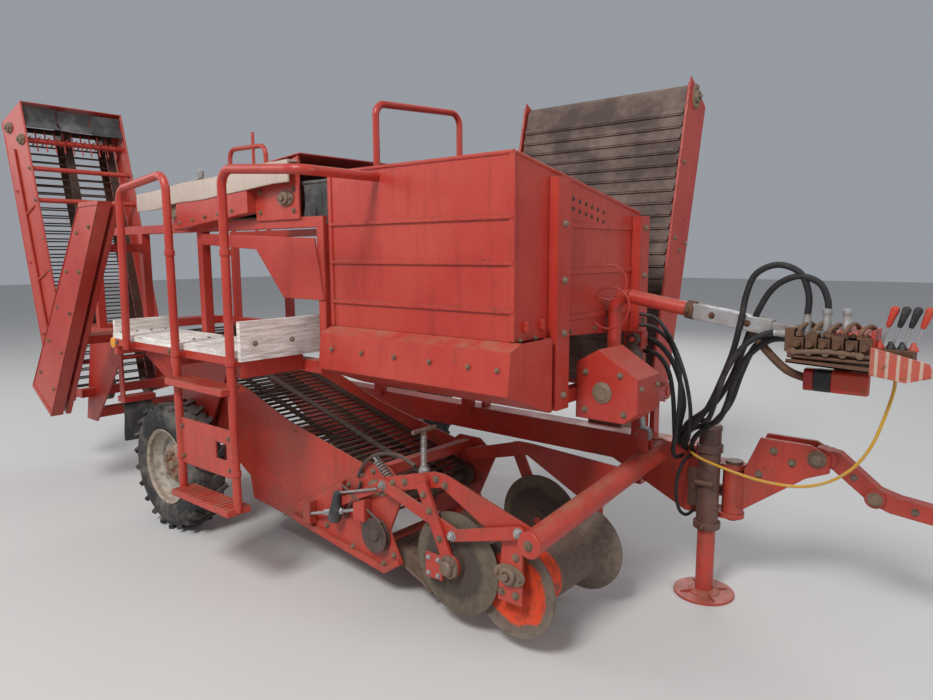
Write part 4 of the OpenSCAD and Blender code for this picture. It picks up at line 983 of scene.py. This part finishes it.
def make_platform_trim():
    """Bolts of the platform, treads of the ladder's steps, clamp bands of its rails and a reflector."""
    s = Shape()
    s.side_bolts(-1.165, [(x, 1.14) for x in (-0.8, -0.21, 0.39)], 0.01)
    s.bolts([(x, -1.128 + 0.085 * i, 1.19) for x in (-0.82, -0.19, 0.4) for i in range(4)], UP, 0.007, False)
    s.side_bolts(-1.209, [(x, z) for x in (-0.04, 0.37) for z in (0.64, 0.79)], 0.009)
    s.bolts([(0.48, y, 1.23) for y in (-1.12, -0.92, -0.72)], FRONT, 0.01)
    s.done("platform_bolts", "worn_steel")
    s = Shape()
    for z in (0.47, 1.03):
        for i in range(14):
            x = -0.07 + 0.034 * i
            s.block((x, -1.255, z - 0.001), (x + 0.01, -1.155, z + 0.003))
    for x in (-0.075, 0.41):
        for z in (0.62, 1.13, 1.62):
            s.spun((x, -1.205, z), UP, ((0, 0.0205), (0.001, 0.024), (0.026, 0.024), (0.027, 0.0205)), 20)
    s.done("step_treads", "red_paint")
    s = Shape()
    s.spun((-0.845, -1.166, 1.135), RIGHT, ((0, 0.03), (0.006, 0.03), (0.009, 0.024), (0.01, 0.01)), 28)
    s.done("side_reflector", "red_paint", look=AMBER)


# Sorting table: the axles of its front drum and of its rear roller
DRUM_X, DRUM_Z = 0.35, 1.89
ROLLER_X, ROLLER_Z = -0.68, 1.88


def make_table_trim():
    """Pale board along the table's edge with a flange over the sheet, bolts, and the roller's sprocket."""
    s = Shape()
    rings = []
    for i in range(25):
        x = -1.048 + 0.0622 * i
        top = 1.982 + (x + 1.05) * 0.055 + 0.004 * math.sin(9 * x)
        low = top - 0.105 - 0.003 * math.sin(13 * x)
        rings.append([(x, -0.885, top - 0.004), (x, -0.886, (top + low) / 2), (x, -0.885, low),
                      (x, -0.876, low), (x, -0.876, top - 0.012), (x, -0.812, top - 0.008),
                      (x, -0.812, top), (x, -0.88, top)])
    s.loft(rings)
    s.done("table_strip", "red_paint", look=CREAM)
    s = Shape()
    s.side_bolts(-0.88, [(-0.56 + 0.13 * i, 1.8 + 0.0115 * i) for i in range(5)], 0.009)
    s.side_bolts(-0.83, [(x, z) for x in (0.14, 0.41) for z in (1.83, 1.93, 2.02)], 0.01)
    s.bearing((DRUM_X, -0.83, DRUM_Z), RIGHT, 0.04)
    s.done("table_bolts", "worn_steel")
    s = Shape()
    teeth = []
    for k in range(48):
        teeth += circle(ROLLER_X, ROLLER_Z, (0.045, 0.054, 0.054, 0.045)[k % 4], [math.tau * k / 48])
    s.plate(-0.8605, teeth, 0.008)
    s.done("table_sprocket_teeth", "worn_steel", "table_roller")


def make_rubber_curtain():
    """Four strips on a rod under the table, in front of the bunker."""
    s = Shape()
    for k in range(4):
        x = 0.452 + 0.043 * k
        rings = []
        for j in range(8):
            z = 1.955 - 0.027 * j
            y = -0.8 + 0.01 * math.sin(j * 0.7 + k * 1.7) * j / 7
            rings.append([(x, y, z), (x + 0.04, y + 0.004, z), (x + 0.04, y + 0.01, z), (x, y + 0.006, z)])
        s.loft(rings)
    s.rod((0.445, -0.797, 1.958), (0.628, -0.797, 1.958), 0.008)
    s.done("rubber_curtain", "belt_rubber", look=FLAP)


def make_sorting_belt():
    """Endless belt round the drum and the roller, and the crank on the rail beside it."""
    s = Shape()
    outline = []
    for x, z, r, start in ((DRUM_X, DRUM_Z, 0.079, 90), (ROLLER_X, ROLLER_Z, 0.059, -90)):
        outline += circle(x, z, r, [math.radians(start - 15 * k) for k in range(13)])
    mid_x, mid_z = (DRUM_X + ROLLER_X) / 2, (DRUM_Z + ROLLER_Z) / 2
    rows = []
    for y in (-0.74, 0.24):
        for to_x, to_z in ((0, 0), (0.006, 0.05)):
            rows.append(s.row([(x + (mid_x - x) * to_x, y, z + (mid_z - z) * to_z) for x, z in outline]))
    for a, b in ((rows[0], rows[2]), (rows[2], rows[3]), (rows[3], rows[1]), (rows[1], rows[0])):
        s.band(a, b)
    s.done("sorting_belt", "belt_rubber")
    s = Shape()
    s.rod((-0.45, -0.85, 1.94), (-0.45, -0.85, 2.03), 0.009)
    s.rod((-0.45, -0.85, 2.025), (-0.37, -0.85, 2.035), 0.008)
    s.spun((-0.37, -0.85, 2.03), UP, ((0, 0.009), (0.01, 0.016), (0.04, 0.018), (0.05, 0.01)), 18)
    s.done("table_crank", "worn_steel", look=BRIGHT)


# Discharge elevator: its hinge, and its lean about the X axis
HINGE_X, HINGE_Y, HINGE_Z = 0.63, 0.385, 0.88
DISCHARGE_LEAN = math.radians(12)


def at_discharge(x, ly, lz):
    """The point ly across the frame and lz up its slope."""
    return Vector((HINGE_X + x, HINGE_Y + ly * math.cos(DISCHARGE_LEAN) + lz * math.sin(DISCHARGE_LEAN),
                   HINGE_Z - ly * math.sin(DISCHARGE_LEAN) + lz * math.cos(DISCHARGE_LEAN)))


def make_discharge_fittings():
    s = Shape()
    for i in range(22):
        lz = 0.1 + 0.0669 * i - (0 if i < 9 else 0.0065)
        s.slab([at_discharge(0.03, ly, lz + up) for ly, up in ((0.031, 0), (0.022, -0.004), (0.022, 0.012),
                                                               (0.027, 0.012))], (0.984, 0, 0))
    s.done("belt_ribs", "belt_rubber", "discharge")
    s = Shape()
    plate_bolts = ((0.05, 0.35), (0.16, 0.35), (0.05, 0.85), (0.19, 0.85), (0.05, 1.25), (0.12, 0.8))
    for x, way in ((0, BACK), (1.044, FRONT)):
        s.bearing(at_discharge(x, 0.094, 1.61), way, 0.042)
        s.bolts([at_discharge(x, ly, lz) for ly, lz in plate_bolts], way, 0.01)
    s.done("discharge_bearings", "worn_steel", "discharge")
    s = Shape()
    for x in (0, 1.036):
        s.edge(at_discharge(x, 0.004, 0.05), at_discharge(x, 0.02, 1.66), 0.008, -0.004)
    s.done("discharge_edges", "red_paint", "discharge")


make_valve_block()
make_hose_fittings()
make_levers()
make_lamp()
make_arm_end()
make_valve_pipes()
make_digger_links()
make_turnbuckle()
make_belt_pulley()
make_coulter_fittings()
make_wheel_fittings()
make_bunker_trim()
make_jack_fittings()
make_drawbar_bolts()
make_rear_fittings()
make_hood_flaps()
make_mud_flap()
make_web_guard_trim()
make_platform_trim()
make_table_trim()
make_rubber_curtain()
make_sorting_belt()
make_discharge_fittings()


# Stage: name, place, aim, size in metres and power in watts of each soft light
LIGHTS = (
    ("key", (2.5, -7.5, 8.5), (0, 0, 1), 2.6, 800),
    ("fill", (-7.5, -5, 5), (-1, 0, 1), 5, 200),
    ("back", (-2, 8, 6), (0, 0, 1), 5, 240),
    ("front", (8, 1, 4), (0, 0, 1), 4, 110),
)


def make_floor():
    mesh = bpy.data.meshes.new("floor")
    bm = bmesh.new()
    bmesh.ops.create_grid(bm, x_segments=1, y_segments=1, size=40)
    bm.to_mesh(mesh)
    bm.free()
    mesh.materials.append(Nodes("floor").finish((0.6, 0.59, 0.57, 1), 0.9))
    floor = bpy.data.objects.new("floor", mesh)
    scene.collection.objects.link(floor)


def make_light():
    world = bpy.data.worlds.new("world")
    world.use_nodes = True
    sky = world.node_tree.nodes["Background"].inputs
    sky["Color"].default_value = (0.86, 0.91, 1, 1)
    sky["Strength"].default_value = 0.36
    scene.world = world
    for name, at, aim, size, power in LIGHTS:
        data = bpy.data.lights.new(name, "AREA")
        data.size = size
        data.energy = power
        lamp = bpy.data.objects.new(name, data)
        lamp.location = at
        lamp.rotation_mode = "QUATERNION"
        lamp.rotation_quaternion = (Vector(aim) - Vector(at)).to_track_quat("-Z", "Y")
        scene.collection.objects.link(lamp)


make_floor()
make_light()
